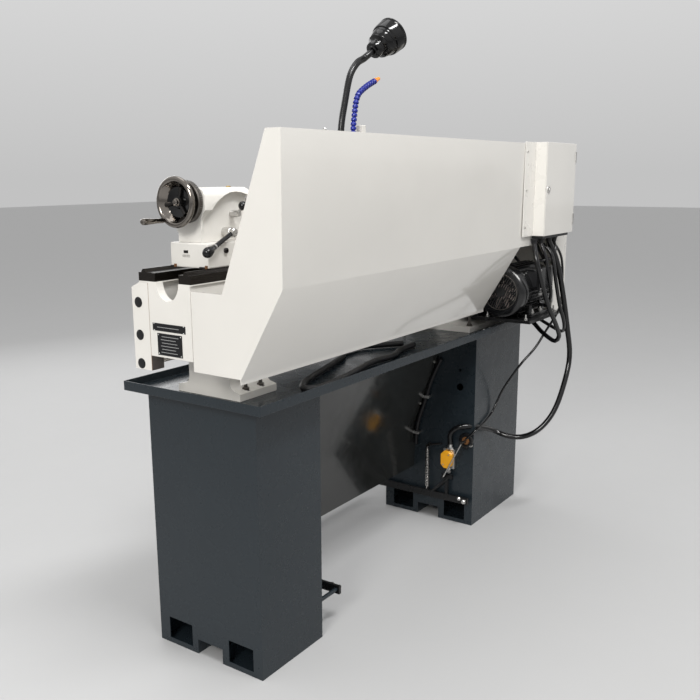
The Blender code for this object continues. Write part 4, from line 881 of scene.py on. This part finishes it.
def cables():
    """The cables that hang from the box: to the motor, to the foot switch and round in a loop."""
    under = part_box("electrical_box")[0].z - 0.024
    for name, radius, points in (
        ("switch_cable", 0.0092, (
            (-0.615, 0.348, 0.94), (-0.65, 0.362, 0.824), (-0.69, 0.37, 0.696), (-0.717, 0.372, 0.612),
            (-0.702, 0.372, 0.542), (-0.646, 0.365, 0.443), (-0.61, 0.345, 0.382), (-0.582, 0.31, 0.339),
            (-0.569, 0.26, 0.315), (-0.552, 0.21, 0.318), (-0.545, 0.172, 0.33), (-0.5, 0.158, 0.348),
            (-0.44, 0.14, 0.366), (-0.405, 0.1, 0.366), (-0.4087, 0.0655, 0.335),
            (-0.4087, 0.0655, 0.296),
        )),
        ("loop_cable", 0.0078, (
            (-0.444, 0.345, 0.955), (-0.46, 0.355, 0.895), (-0.514, 0.362, 0.807), (-0.586, 0.366, 0.729),
            (-0.631, 0.362, 0.683), (-0.641, 0.345, 0.662), (-0.651, 0.315, 0.671), (-0.662, 0.28, 0.691),
            (-0.668, 0.25, 0.716), (-0.66, 0.215, 0.738), (-0.56, 0.13, 0.74),
        )),
        ("right_cable", 0.0062, (
            (-0.568, 0.345, 0.971), (-0.566, 0.366, 0.878), (-0.6, 0.37, 0.796), (-0.646, 0.372, 0.727),
            (-0.69, 0.35, 0.69), (-0.7, 0.3, 0.705), (-0.7, 0.24, 0.735),
        )),
        ("motor_cable", 0.0055, (
            (-0.518, 0.345, 0.965), (-0.525, 0.356, 0.9), (-0.545, 0.358, 0.84), (-0.566, 0.34, 0.8),
            (-0.574, 0.316, 0.798), (-0.575, 0.305, 0.82),
        )),
        ("short_cable", 0.005, (
            (-0.628, 0.335, 0.985), (-0.6, 0.338, 0.958), (-0.575, 0.32, 0.948), (-0.56, 0.29, 0.946),
        )),
        ("thin_cable", 0.0042, (
            (-0.688, 0.335, 0.95), (-0.69, 0.342, 0.85), (-0.683, 0.338, 0.77), (-0.659, 0.3, 0.686),
            (-0.635, 0.275, 0.63), (-0.603, 0.235, 0.569), (-0.588, 0.18, 0.475), (-0.56, 0.157, 0.4),
            (-0.5, 0.155, 0.372), (-0.424, 0.153, 0.355), (-0.418, 0.135, 0.335),
            (-0.4165, 0.122, 0.322),
        )),
    ):
        tube(name, [(*GLANDS[name], under), *points], radius)
    # A hose left lying on the tray
    floor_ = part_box("chip_tray")[1].z - 0.0195
    lie = floor_ + 0.0092
    for name, points in (
        ("tray_hose", (
            (0.439, 0.09), (0.5, 0.112), (0.547, 0.145), (0.535, 0.172), (0.495, 0.176), (0.359, 0.158),
            (0.202, 0.127), (0.102, 0.132), (0.014, 0.107), (-0.08, 0.1),
        )),
        ("tray_hose_inner", (
            (0.439, 0.09), (0.33, 0.06), (0.2, 0.02), (0.13, -0.016), (0.043, -0.02), (-0.017, 0.015),
            (-0.08, 0.06),
        )),
    ):
        tube(name, [(*point, lie) for point in points], 0.0088, "rubber")
    nuts = Shape()
    for x in (-0.467, -0.424):
        nuts.bolt((x, 0.176, floor_), UP, 0.0085, stud=0.006)
    nuts.done("tray_bolts", "zinc")


# ---- Foot brake ---------------------------------------------------------------------------------------


def brake_details():
    low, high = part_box("limit_switch")
    face = low.x
    body = Shape().box((face, 0.04, 0.206), (face + 0.02, 0.084, 0.279))
    body.bar((face + 0.011, 0.06, 0.207), (face + 0.011, 0.06, 0.197), 0.0065)
    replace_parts(body.done("switch_body", "zinc", edge=0.0015), "limit_switch")
    cut = 0.012
    y, z = (0.037, 0.078), (0.209, 0.272)
    outline = [
        (y[0] + cut, z[0]), (y[1] - cut, z[0]), (y[1], z[0] + cut), (y[1], z[1] - cut), (y[1] - cut, z[1]),
        (y[0] + cut, z[1]), (y[0], z[1] - cut), (y[0], z[0] + cut),
    ]
    Shape().prism(outline, "X", face + 0.0202, high.x).done("switch_cover", "yellow", edge=0.0012)
    corners = ((high.x, y[0] + 0.01, z[0] + 0.012), (high.x, y[1] - 0.01, z[1] - 0.012))
    Shape().screws(corners, RIGHT, 0.0026, 0.0012).done("switch_screws", "zinc")
    gland = Shape()
    gland.hexagon((face + 0.017, 0.0655, 0.2785), UP, 0.02, 0.007)
    gland.bar((face + 0.017, 0.0655, 0.2855), (face + 0.017, 0.0655, high.z), 0.0095, 0.0085)
    gland.done("switch_gland", "zinc")
    roller = Shape().turned(
        [(0, 0), (0.0075, 0), (0.0075, 0.006), (0, 0.006)], (face + 0.008, 0.06, 0.192), RIGHT
    )
    roller.done("switch_roller", "zinc")

    # Bracket ring for the switch's small cable
    x = face + 0.0002
    ring = Shape().turned(
        [(0.016, 0), (0.027, 0), (0.027, 0.007), (0.023, 0.009), (0.016, 0.009)], (x, 0.121, 0.316), RIGHT
    )
    ring.box((x, 0.115, 0.283), (x + 0.004, 0.127, 0.296))
    ring.done("cable_clamp", "black")
    Shape().bar((x, 0.121, 0.316), (x + 0.011, 0.121, 0.316), 0.0155, 0.013).done("clamp_core", "rust")
    Shape().bolt((x, 0.139, 0.3), RIGHT, 0.006, stud=0.006).done("clamp_nut", "zinc")

    # Return spring between an eye bolt on the pedestal and the treadle's arm
    plane = face + 0.019
    top, bottom = Vector((plane, -0.025, 0.272)), Vector((plane, -0.024, 0.112))
    line = []
    along = bottom - top
    count, turns = 420, 26
    for k in range(count + 1):
        t = k / count
        angle = 2 * pi * turns * t
        lean = 0.0062 if 0.06 < t < 0.94 else 0.0022
        line.append(top + along * t + Vector((cos(angle), sin(angle), 0)) * lean)
    spring = Shape().swept(line, 0.0016, steps=6).done("return_spring", "turned", None, sharp=60)
    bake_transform(spring)
    eye = Shape().bar((face - 0.0005, -0.025, 0.276), (plane + 0.006, -0.025, 0.276), 0.0048)
    eye.bolt((face, -0.025, 0.276), RIGHT, 0.0062)
    eye.bar((face + 0.013, -0.025, 0.276), (face + 0.013, 0.03, 0.292), 0.0042, 0.003)
    eye.done("spring_post", "black_oxide")

    start, end = (high.x + 0.0045, 0.121, 0.316), (high.x + 0.0045, 0.05, 0.174)
    link = Shape().bar(start, end, 0.0025).done("link_rod", "zinc", None)
    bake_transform(link)
    Shape().bar((x + 0.01, *start[1:]), (start[0] + 0.003, *start[1:]), 0.005).done("link_pin", "dark")
    arm = Shape().bar((plane, *end[1:]), (end[0] + 0.003, *end[1:]), 0.0045)
    arm.box((plane - 0.006, -0.03, 0.1), (plane + 0.002, -0.018, 0.117))
    arm.bar((plane - 0.002, 0.073, 0.181), (plane - 0.002, -0.009, 0.099), 0.0052)
    arm.box((plane - 0.007, 0.036, 0.168), (plane + 0.004, 0.078, 0.181))
    arm.box((plane - 0.006, 0.048, 0.1), (plane + 0.001, 0.06, 0.17))
    arm.done("brake_lever", "black", "brake_treadle", edge=0.001)
    nuts = Shape()
    low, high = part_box("brake_treadle")
    for x, way in ((low.x, 1), (high.x, -1)):
        outer = x + way * 0.0102
        nuts.bolt((outer, 0.108, 0.101), (way, 0, 0), 0.0062)
    nuts.done("treadle_bolts", "zinc", "brake_treadle")
    pivot = PIVOT["brake_treadle_press"]
    ends = Shape()
    for x, way in ((low.x + 0.014, 1), (high.x - 0.014, -1)):
        ends.bolt((x, pivot.y, pivot.z), (way, 0, 0), 0.0072)
    ends.done("pivot_nuts", "zinc")
    tread = Shape()
    for k in range(9):
        x = low.x + 0.045 + k * (high.x - low.x - 0.09) / 9
        tread.box((x, low.y + 0.004, high.z - 0.0072), (x + 0.058, low.y + 0.036, high.z - 0.0046))
    tread.done("tread_strips", "rubber", "brake_treadle")

    # Conduit on the pedestal's side, with two saddles
    tube("conduit", [
        (face + 0.01, 0.018, 0.6), (face + 0.01, -0.018, 0.52), (face + 0.01, -0.043, 0.44),
        (face + 0.01, -0.066, 0.37), (face + 0.01, -0.076, 0.32), (face + 0.01, -0.078, 0.27),
    ], 0.007, "rubber")
    saddles = Shape()
    for y, z in ((-0.039, 0.455), (-0.0765, 0.315)):
        saddles.box((face, y - 0.013, z - 0.005), (face + 0.018, y + 0.013, z + 0.005))
    saddles.done("conduit_saddles", "zinc", edge=0.001)


# ---- Lamp and coolant line ----------------------------------------------------------------------------

NECK = (  # x and z along each line
    (0.2825, 1.07), (0.2825, 1.15), (0.2835, 1.26), (0.2825, 1.3527), (0.2635, 1.4237),
    (0.2405, 1.4887), (0.2075, 1.5237),
)
HOSE = (
    (0.2675, 1.33), (0.2672, 1.355), (0.2615, 1.39), (0.2545, 1.42), (0.244, 1.4395),
    (0.225, 1.453), (0.195, 1.468), (0.165, 1.48),
)


def lamp_details():
    y = 0.08
    aim = Vector((-0.82, 0.18, 0.55)).normalized()
    tip = Vector((0.134, y, 1.5607))
    points = [Vector((x, y, z)) for x, z in NECK] + [tip - aim * 0.036, tip - aim * 0.014, tip]
    line = smooth(points, 0.0017)
    sizes = [0.0093 if i % 2 else 0.0083 for i in range(len(line))]
    neck = Shape().swept(line, sizes, steps=16).done("neck_rings", "black", "carriage", sharp=80)
    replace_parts(neck, "lamp_gooseneck")
    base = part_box("lamp_gooseneck")[0].z
    foot = Shape().turned(
        [(0, 0), (0.017, 0), (0.017, 0.007), (0.015, 0.01), (0.0125, 0.014), (0.012, 0.026), (0, 0.026)],
        (0.2825, y, base + 0.0002), UP,
    )
    foot.done("lamp_foot", "black", "carriage")

    start = tip + aim * 0.0008
    shell = [
        (0, 0), (0.0135, 0), (0.015, 0.003), (0.0215, 0.004), (0.0232, 0.007), (0.0236, 0.018),
        (0.0248, 0.0195), (0.025, 0.024), (0.0285, 0.0265), (0.033, 0.029), (0.0344, 0.032),
        (0.0336, 0.0335), (0.035, 0.035), (0.0384, 0.049), (0.0372, 0.0505), (0.0384, 0.052),
        (0.0398, 0.058), (0.0436, 0.06), (0.045, 0.064), (0.0468, 0.088), (0.0458, 0.0892),
        (0.0469, 0.0905), (0.046, 0.0918), (0.0472, 0.093), (0.0474, 0.0965), (0.046, 0.098),
        (0.044, 0.096), (0.036, 0.07), (0.02, 0.0665), (0, 0.066),
    ]
    made = Shape().turned(shell, start, aim, steps=64).done("lamp_shell", "plastic", "carriage")
    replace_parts(made, "lamp_head")
    lens = [(0, 0.0665), (0.028, 0.0668), (0.0345, 0.0712), (0.025, 0.0765), (0, 0.079)]
    Shape().turned(lens, start, aim, steps=48).done("lamp_lens", "glass", "carriage")

    # Coolant line: valve on the post, jointed hose, nozzle
    x0, y = HOSE[0][0], 0.1085
    line = smooth([(x, y, z) for x, z in HOSE], 0.0011)
    sizes = []
    for i in range(len(line)):
        part = (i % 10) / 10
        waist = 0.008 - 0.0028 * min(1, (part - 0.45) * 4)
        sizes.append(0.008 if part < 0.45 else waist if part < 0.9 else 0.006)
    hose = Shape().swept(line, sizes, steps=20).done("hose_segments", "blue", "carriage", sharp=50)
    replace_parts(hose, "coolant_hose")
    end, before = line[-1], line[-4]
    way = (end - before).normalized()
    nozzle = Shape().turned(
        [(0, 0), (0.0076, 0), (0.0076, 0.006), (0.006, 0.009), (0.0042, 0.026), (0.0026, 0.026),
         (0.0026, 0.02), (0, 0.02)],
        end - way * 0.002, way,
    )
    nozzle.done("hose_nozzle", "orange", "carriage")
    low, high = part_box("accessory_post")
    valve = Shape().turned(
        [(0, 0), (0.0095, 0), (0.0095, 0.016), (0.0075, 0.018), (0, 0.018)], (x0, y, 1.308), UP
    )
    valve.hexagon((x0, y, 1.3255), UP, 0.015, 0.005)
    valve.done("hose_valve", "zinc", "carriage")
    handle = Shape().box((x0 - 0.004, y + 0.007, 1.312), (x0 + 0.004, y + 0.011, 1.34))
    handle.done("valve_handle", "red", "carriage", edge=0.001)
    corners = [(x, high.y, z) for z in (1.0405, 1.0525) for x in (low.x + 0.007, high.x - 0.053)]
    Shape().screws(corners, BACK, 0.003, 0.0024).done("post_screws", "black_oxide", "carriage")


# ---- Operator's side ----------------------------------------------------------------------------------


def lever(node, pivot, axis, hub, reach, arm_radius, knob_radius):
    """A lever on its node's own body: turned hub, plain arm and black knob. hub is (radius, length)."""
    radius, length = hub
    out = Vector(axis)
    profile = [
        (0, 0.0004), (radius, 0.0004), (radius, length * 0.62), (radius * 0.86, length * 0.82),
        (radius * 0.6, length * 0.92), (radius * 0.55, length), (0, length),
    ]
    tip = pivot + Vector(reach)
    start = pivot + out * length * 0.62
    hub_shape = Shape().turned(profile, pivot, axis, steps=40)
    hub_shape.bar(start, tip, arm_radius * 1.1, arm_radius * 0.8)
    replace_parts(hub_shape.done(f"{node}_arm", "zinc", node), node)
    Shape().ball(tip, knob_radius, steps=28).done(f"{node}_knob", "plastic", node)


def dial_plate(name, joint, face, radius, count, body="frame"):
    """A round plate behind a lever, with an index line for each of its positions."""
    at = Vector((PIVOT[joint].x, face, PIVOT[joint].z))
    Shape().ring(0, radius, -0.0003, 0.0003, at, FRONT, steps=48).done(f"{name}_disc", "plate_black", body)
    marks = Shape()
    for k in range(count):
        angle = radians(30 + 120 * k / (count - 1))
        out = Vector((cos(angle), 0, sin(angle)))
        near, far = at + out * radius * 0.74, at + out * radius * 0.92
        marks.bar(near + Vector((0, -0.0004, 0)), far + Vector((0, -0.0004, 0)), 0.0009, steps=6)
    marks.done(f"{name}_marks", "plate", body)


def chart(name, x, face, z, rows, body="frame"):
    """A pale ruled plate on a front face."""
    ruled_plate(name, x, (face - 0.0007, face), z, FRONT, body, rows, "plate", "plate_black")


def sight_glass(name, at, body="frame"):
    ring = [(0.007, 0), (0.0115, 0), (0.0115, 0.0035), (0.01, 0.0048), (0.007, 0.004)]
    Shape().turned(ring, at, FRONT, steps=32).done(f"{name}_ring", "zinc", body)
    Shape().turned([(0, 0), (0.0071, 0), (0.0071, 0.0028), (0, 0.0032)], at, FRONT, steps=24) \
        .done(f"{name}_window", "glass", body)


def headstock_details():
    low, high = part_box("headstock")
    face = low.y
    lever("speed_lever", PIVOT["speed_lever_turn"], FRONT, (0.02, 0.022), (0, -0.026, 0.08), 0.0058, 0.013)
    dial_plate("speed", "speed_lever_turn", face, 0.046, 5)
    chart("speed_chart", (-0.588, -0.5), face, (1.092, 1.178), 7)
    panel = face - 0.007
    Shape().box((-0.706, panel, 1.088), (-0.616, face + 0.0002, 1.206)) \
        .done("control_panel", "black", edge=0.003)
    stop = [
        (0, 0), (0.01, 0), (0.01, 0.01), (0.0175, 0.013), (0.0175, 0.019), (0.014, 0.023), (0, 0.024),
    ]
    Shape().turned(stop, (-0.683, panel, 1.175), FRONT, steps=32).done("stop_button", "red")
    rings, caps = Shape(), Shape()
    for x, z in ((-0.64, 1.175), (-0.683, 1.122), (-0.64, 1.122)):
        rings.ring(0.0085, 0.012, 0, 0.004, (x, panel, z), FRONT, steps=24)
        caps.turned([(0, 0), (0.0084, 0), (0.0084, 0.0055), (0, 0.0062)], (x, panel, z), FRONT, steps=24)
    rings.done("button_rings", "zinc")
    caps.done("buttons", "plastic")
    sight_glass("headstock_sight", (-0.372, face, 1.062))

    lid_low, lid_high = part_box("headstock_lid")
    gap = lid_low.z
    edge = 0.0008
    Shape().box((low.x + edge, low.y + edge, gap - 0.0012), (high.x - edge, high.y - edge, gap + 0.0006)) \
        .done("lid_gasket", "rubber")
    tops = product(
        (low.x + 0.026, (low.x + high.x) / 2, high.x - 0.026), (low.y + 0.024, high.y - 0.024), (lid_high.z,)
    )
    Shape().screws(tops, UP, 0.0055, 0.0045).done("lid_screws", "black_oxide")
    plug = Shape().turned(
        [(0, 0), (0.015, 0), (0.015, 0.006), (0.012, 0.008), (0, 0.008)], (-0.64, -0.02, lid_high.z), UP
    )
    plug.hexagon((-0.64, -0.02, lid_high.z + 0.008), UP, 0.014, 0.006)
    plug.done("filler_plug", "zinc")

    low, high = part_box("feed_gearbox")
    face = low.y
    at = PIVOT["feed_selector_turn"]
    lever("feed_selector", at, FRONT, (0.018, 0.022), (0, -0.03, -0.05), 0.0054, 0.011)
    dial_plate("feed", "feed_selector_turn", face, 0.04, 4)
    chart("feed_chart", (-0.49, -0.372), face, (0.868, 0.968), 9)
    corners = product((low.x + 0.014, high.x - 0.014), (face,), (low.z + 0.016, high.z - 0.016))
    Shape().screws(corners, FRONT, 0.005, 0.004).done("gearbox_screws", "black_oxide")
    sight_glass("gearbox_sight", (-0.69, face, 0.838))
    Shape().hexagon((-0.64, face, 0.806), FRONT, 0.016, 0.007).done("gearbox_drain", "zinc")
    collars = Shape()
    collar = [(0.0098, 0), (0.0185, 0), (0.0185, 0.012), (0.017, 0.014), (0.0098, 0.014)]
    for rod in RODS:
        collars.turned(collar, (high.x + 0.0003, rod.y, rod.z), RIGHT)
    collars.done("rod_collars", "turned")

    low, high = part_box("end_cover")
    knob = [
        (0, 0), (0.006, 0), (0.006, 0.004), (0.0135, 0.005), (0.0145, 0.009), (0.0135, 0.016), (0, 0.017),
    ]
    Shape().turned(knob, ((low.x + high.x) / 2, low.y, 1.02), FRONT, steps=28) \
        .done("cover_knob", "plastic", "end_cover")
    pins = Shape()
    hinge = PIVOT["end_cover_hinge"]
    for z in (low.z + 0.06, low.z + 0.235):
        pins.bar((hinge.x, hinge.y, z - 0.022), (hinge.x, hinge.y, z + 0.022), 0.0044)
    pins.done("cover_hinges", "zinc", "end_cover")


def spindle_details():
    low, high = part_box("chuck_body")
    centre_y, centre_z = (low.y + high.y) / 2, (low.z + high.z) / 2
    front = high.x
    rings = Shape()
    for r in (0.03, 0.048, 0.066):
        rings.ring(r, r + 0.0008, -0.0004, 0.0002, (front, centre_y, centre_z), RIGHT, steps=72)
    rings.done("chuck_rings", "dark", "spindle")
    sockets, holes, bolts = Shape(), Shape(), Shape()
    for i in range(3):
        angle = radians(30 + 120 * i)
        out = Vector((0, cos(angle), sin(angle)))
        at = Vector((front - 0.036, centre_y, centre_z)) + out * 0.0796
        sockets.ring(0.0062, 0.01, 0, 0.0012, at, out, steps=28)
        holes.bar(at - out * 0.002, at + out * 0.0009, 0.0062, steps=4)
        for shift in (-26, 26):
            turn = radians(30 + 120 * i + shift)
            face_at = Vector((front, centre_y + 0.07 * cos(turn), centre_z + 0.07 * sin(turn)))
            bolts.screw(face_at, RIGHT, 0.0042, 0.0012)
    sockets.done("chuck_sockets", "turned", "spindle")
    holes.done("chuck_key_holes", "black_oxide", "spindle")
    bolts.done("chuck_bolts", "black_oxide", "spindle")
    band = Shape()
    for k in range(3):
        x = low.x + 0.008 + k * 0.0035
        band.ring(0.0798, 0.0802, 0, 0.0007, (x, centre_y, centre_z), RIGHT, steps=72)
    band.done("chuck_lines", "dark", "spindle")


def carriage_details():
    proud = Vector((0, -0.0003, 0))
    for node, at, axis, radius, depth, collar, span, shift, grip, look, name in (
        ("carriage_handwheel", PIVOT["carriage_handwheel_spin"] + proud, FRONT, 0.07, 0.006, 0.033,
         (0.0002, 0.0085), (0, -0.03, 0.059), (0.059, 0.009), "plastic", "carriage_grip"),
        ("cross_handle", PIVOT["cross_handle_spin"] + proud, FRONT, 0.045, 0.011, 0.025,
         (0.0002, 0.0125), (0, -0.026, 0.037), (0.0395, 0.007), "chrome", "cross_grip"),
        ("top_slide_handle", PIVOT["top_slide_handle_spin"], RIGHT, 0.034, 0.013, 0.0185,
         (0.0002, 0.014), (0.025, 0, 0.027), (0.031, 0.006), "chrome", "top_grip"),
    ):
        wheel(node, at, axis, radius, depth, collar, span)
        grip_shape(Shape(), at + Vector(shift), axis, *grip).done(name, look, node)

    half_nut, post = PIVOT["half_nut_lever_turn"], PIVOT["tool_post_lever_turn"]
    lever("half_nut_lever", half_nut, FRONT, (0.016, 0.018), (0, -0.026, 0.07), 0.0052, 0.012)
    lever("tool_post_lever", post, UP, (0.016, 0.03), (0.052, -0.052, 0.06), 0.0056, 0.012)
    Shape().ball((0.313, -0.235, 0.8), 0.0146, steps=28).done("start_knob", "plastic", "start_lever")

    low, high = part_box("apron")
    face = low.y
    dial_plate("half_nut", "half_nut_lever_turn", face, 0.03, 2, "carriage")
    sight_glass("apron_sight", (0.18, face, 0.83), "carriage")
    chart("apron_plate", (0.16, 0.212), face, (0.955, 0.985), 3, "carriage")
    corners = product((low.x + 0.014, high.x - 0.014), (face,), (low.z + 0.014, high.z - 0.016))
    Shape().screws(corners, FRONT, 0.005, 0.0042).done("apron_screws", "black_oxide", "carriage")
    Shape().hexagon((0.265, face, 0.812), FRONT, 0.016, 0.006).done("apron_drain", "zinc", "carriage")
    caps = Shape()
    for rod in RODS:
        for sx, way in ((low.x, -1), (high.x, 1)):
            caps.ring(0.0126, 0.018, 0, 0.002, (sx, RODS[0].y, rod.z), (way, 0, 0), steps=28)
    caps.done("apron_seals", "black_oxide", "carriage")

    low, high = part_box("saddle")
    top = high.z
    oilers, wipers, screws = Shape(), Shape(), Shape()
    cup = [(0, 0), (0.005, 0), (0.005, 0.002), (0.0036, 0.003), (0, 0.0016)]
    for at in product((low.x + 0.014, high.x - 0.014), (-0.09, 0.034), (top,)):
        oilers.turned(cup, at, UP, steps=20)
    oilers.done("saddle_oilers", "brass", "carriage")
    for sx, way in ((low.x, -1), (high.x, 1)):
        for y0, y1 in ((-0.122, -0.064), (0.016, 0.056)):
            a, b = sorted((sx, sx + way * 0.004))
            wipers.box((a, y0, low.z + 0.0003), (b, y1, low.z + 0.015))
            for sy in (y0 + 0.008, y1 - 0.008):
                screws.screw((sx + way * 0.004, sy, low.z + 0.0085), (way, 0, 0), 0.0026, 0.0014)
    wipers.done("saddle_wipers", "rubber", "carriage", edge=0.0006)
    screws.screw((high.x - 0.03, -0.165, top), UP, 0.008, 0.01)
    for sx in (0.06, 0.3):
        screws.screw((sx, low.y + 0.062, top), UP, 0.0048, 0.003)
    screws.done("saddle_screws", "black_oxide", "carriage")

    low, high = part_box("cross_slide")
    gibs = [(high.x, y, low.z + 0.014) for y in (-0.14, -0.085, -0.03, 0.03)]
    Shape().screws(gibs, RIGHT, 0.0036, 0.0016).done("cross_gib_screws", "black_oxide", "cross_slide")
    slots = Shape()
    for sx in (0.14, 0.21):
        slots.box((sx - 0.006, -0.022, high.z - 0.0002), (sx + 0.006, high.y - 0.003, high.z + 0.0002))
    slots.done("cross_slide_slots", "black_oxide", "cross_slide")
    low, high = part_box("swivel_base")
    ring = Shape()
    graduated(ring, ((low.x + high.x) / 2, (low.y + high.y) / 2, low.z), UP, 0.055, 90, 0.01, 0.017)
    ring.done("swivel_scale", "black_oxide", "swivel")
    low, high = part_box("top_slide")
    gibs = [(low.x + 0.04 + k * 0.05, high.y, low.z + 0.014) for k in range(3)]
    Shape().screws(gibs, BACK, 0.0032, 0.0014).done("top_gib_screws", "black_oxide", "top_slide")

    # Tool and the post's clamping screws
    low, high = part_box("tool_post")
    centre = (low + high) / 2
    screws = Shape()
    for dx, dy in ((-1, 0), (1, 0), (0, -1), (0, 1)):
        for k in (-0.024, 0.0, 0.024):
            sx = centre.x + dx * 0.0315 + (k if dy else 0)
            sy = centre.y + dy * 0.0315 + (k if dx else 0)
            if k and (dx, dy) in ((0, -1), (0, 1)):
                continue
            foot_z = 1.1765 if dx < 0 else 1.1862
            screws.bar((sx, sy, foot_z), (sx, sy, high.z + 0.004), 0.0042, steps=12)
            screws.box((sx - 0.0044, sy - 0.0044, high.z + 0.003), (sx + 0.0044, sy + 0.0044, high.z + 0.012))
    screws.done("tool_screws", "black_oxide", "tool_post", edge=0.0004)
    x, y = low.x, high.y
    shank = Shape().box((x + 0.0015, low.y + 0.004, 1.159), (x + 0.0145, y + 0.006, 1.1762))
    nose = ((0.0015, 0.0055), (0.0145, 0.0055), (0.005, 0.0135), (0.002, 0.0135))
    shank.prism([(x + u, y + v) for u, v in nose], "Z", 1.1625, 1.1762) \
        .done("turning_tool", "dark", "tool_post", edge=0.0003)
    tip = ((0.0016, 0.0095), (0.006, 0.0085), (0.0042, 0.0145), (0.0022, 0.015))
    Shape().prism([(x + u, y + v) for u, v in tip], "Z", 1.1757, 1.1772) \
        .done("tool_insert", "brass", "tool_post")


HEAD_CABINET_END, TAIL_CABINET_START = -0.426, 0.482


def stand_details():
    doors, locks, hinges = Shape(), Shape(), Shape()
    lock = [
        (0, 0), (0.011, 0), (0.011, 0.0022), (0.009, 0.0034), (0.004, 0.0034), (0.0036, 0.0014),
        (0, 0.0014),
    ]
    head_low, (tail_low, tail_high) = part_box("head_pedestal")[0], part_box("tail_pedestal")
    for x0, x1, face, way in (
        (head_low.x, HEAD_CABINET_END, head_low.y, 1), (TAIL_CABINET_START, tail_high.x, tail_low.y, -1),
    ):
        doors.box((x0 + 0.024, face - 0.0022, 0.105), (x1 - 0.024, face + 0.0002, 0.66))
        hinge_x, lock_x = (x0 + 0.026, x1 - 0.045) if way > 0 else (x1 - 0.026, x0 + 0.045)
        locks.turned(lock, (lock_x, face - 0.0022, 0.385), FRONT, steps=28)
        for z in (0.19, 0.575):
            hinges.bar((hinge_x, face - 0.003, z - 0.02), (hinge_x, face - 0.003, z + 0.02), 0.0034)
    doors.done("cabinet_doors", "grey", edge=0.001)
    locks.done("cabinet_locks", "zinc")
    hinges.done("cabinet_hinges", "grey")
    low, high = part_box("splash_guard")
    Shape().bolt((0.671, high.y - 0.0065, high.z), UP, 0.0042).done("guard_bolt", "zinc")
    low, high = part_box("stand_panel")
    screws = Shape()
    for x in (low.x + 0.025, high.x - 0.025):
        for y, z in ((-0.0585, 0.43), (-0.0035, 0.59)):
            screws.bolt((x, y + 0.0035, z), (0, 0.935, -0.355), 0.004)
    screws.done("panel_screws", "zinc")


# ---- Light, floor and camera --------------------------------------------------------------------------


def area_light(name, at, towards, size, power, colour=(1, 1, 1)):
    lamp = bpy.data.lights.new(name, "AREA")
    lamp.shape = "RECTANGLE"
    lamp.size, lamp.size_y = size
    lamp.energy = power
    lamp.color = colour
    made = bpy.data.objects.new(name, lamp)
    made.location = at
    made.rotation_euler = (Vector(towards) - Vector(at)).to_track_quat("-Z", "Y").to_euler()
    bpy.context.scene.collection.objects.link(made)


def studio():
    floor = Shape()
    corners = ((-30, -30, 0), (30, -30, 0), (30, 30, 0), (-30, 30, 0))
    floor.bm.faces.new([floor.bm.verts.new(p) for p in corners])
    mesh = bpy.data.meshes.new("floor")
    floor.bm.to_mesh(mesh)
    floor.bm.free()
    mesh.materials.append(finish("pale_floor", (0.42, 0.42, 0.42), 0.8, tone=0.004, relief=0.0, smudge=0.02))
    ground = bpy.data.objects.new("floor", mesh)
    bpy.context.scene.collection.objects.link(ground)

    world = bpy.data.worlds.new("studio")
    bpy.context.scene.world = world
    world.use_nodes = True
    tree = world.node_tree
    split = tree.nodes.new("ShaderNodeSeparateXYZ")
    tree.links.new(tree.nodes.new("ShaderNodeTexCoord").outputs["Generated"], split.inputs["Vector"])
    sky = tree.nodes["Background"].inputs
    sky["Color"].default_value = (1, 1, 1, 1)
    # Darker at the horizon than overhead
    tree.links.new(spread(tree, split.outputs["Z"], 0.0, 0.4, 0.54, 0.82), sky["Strength"])
    bpy.context.scene.view_settings.view_transform = "Standard"

    area_light("key", (4.3, 1.1, 2.9), (0.3, 0, 0.8), (1.2, 1.2), 112, (1.0, 0.99, 0.965))
    area_light("rear", (0.8, 1.85, 4.5), (0.1, 0.3, 1.2), (1.8, 0.6), 132)
    area_light("top", (0.6, -0.9, 4.2), (0.3, 0, 1.1), (2.4, 1.6), 20)
    area_light("front_fill", (-1.2, -3.6, 2.2), (0, 0, 0.8), (2.6, 2.0), 34)


def camera():
    seen = bpy.data.cameras.new("camera")
    seen.sensor_width = 36
    seen.lens = 43.54
    seen.shift_x = 0.0196
    seen.shift_y = 0.0148
    made = bpy.data.objects.new("camera", seen)
    made.location = (2.1747, 1.395, 1.2362)
    made.rotation_euler = tuple(radians(a) for a in (77.61, 0.386, 125.128))
    bpy.context.scene.collection.objects.link(made)
    bpy.context.scene.camera = made


bed_details()
tailstock_details()
rod_details()
motor_details()
box_details()
cables()
brake_details()
lamp_details()
headstock_details()
spindle_details()
carriage_details()
stand_details()
studio()
camera()
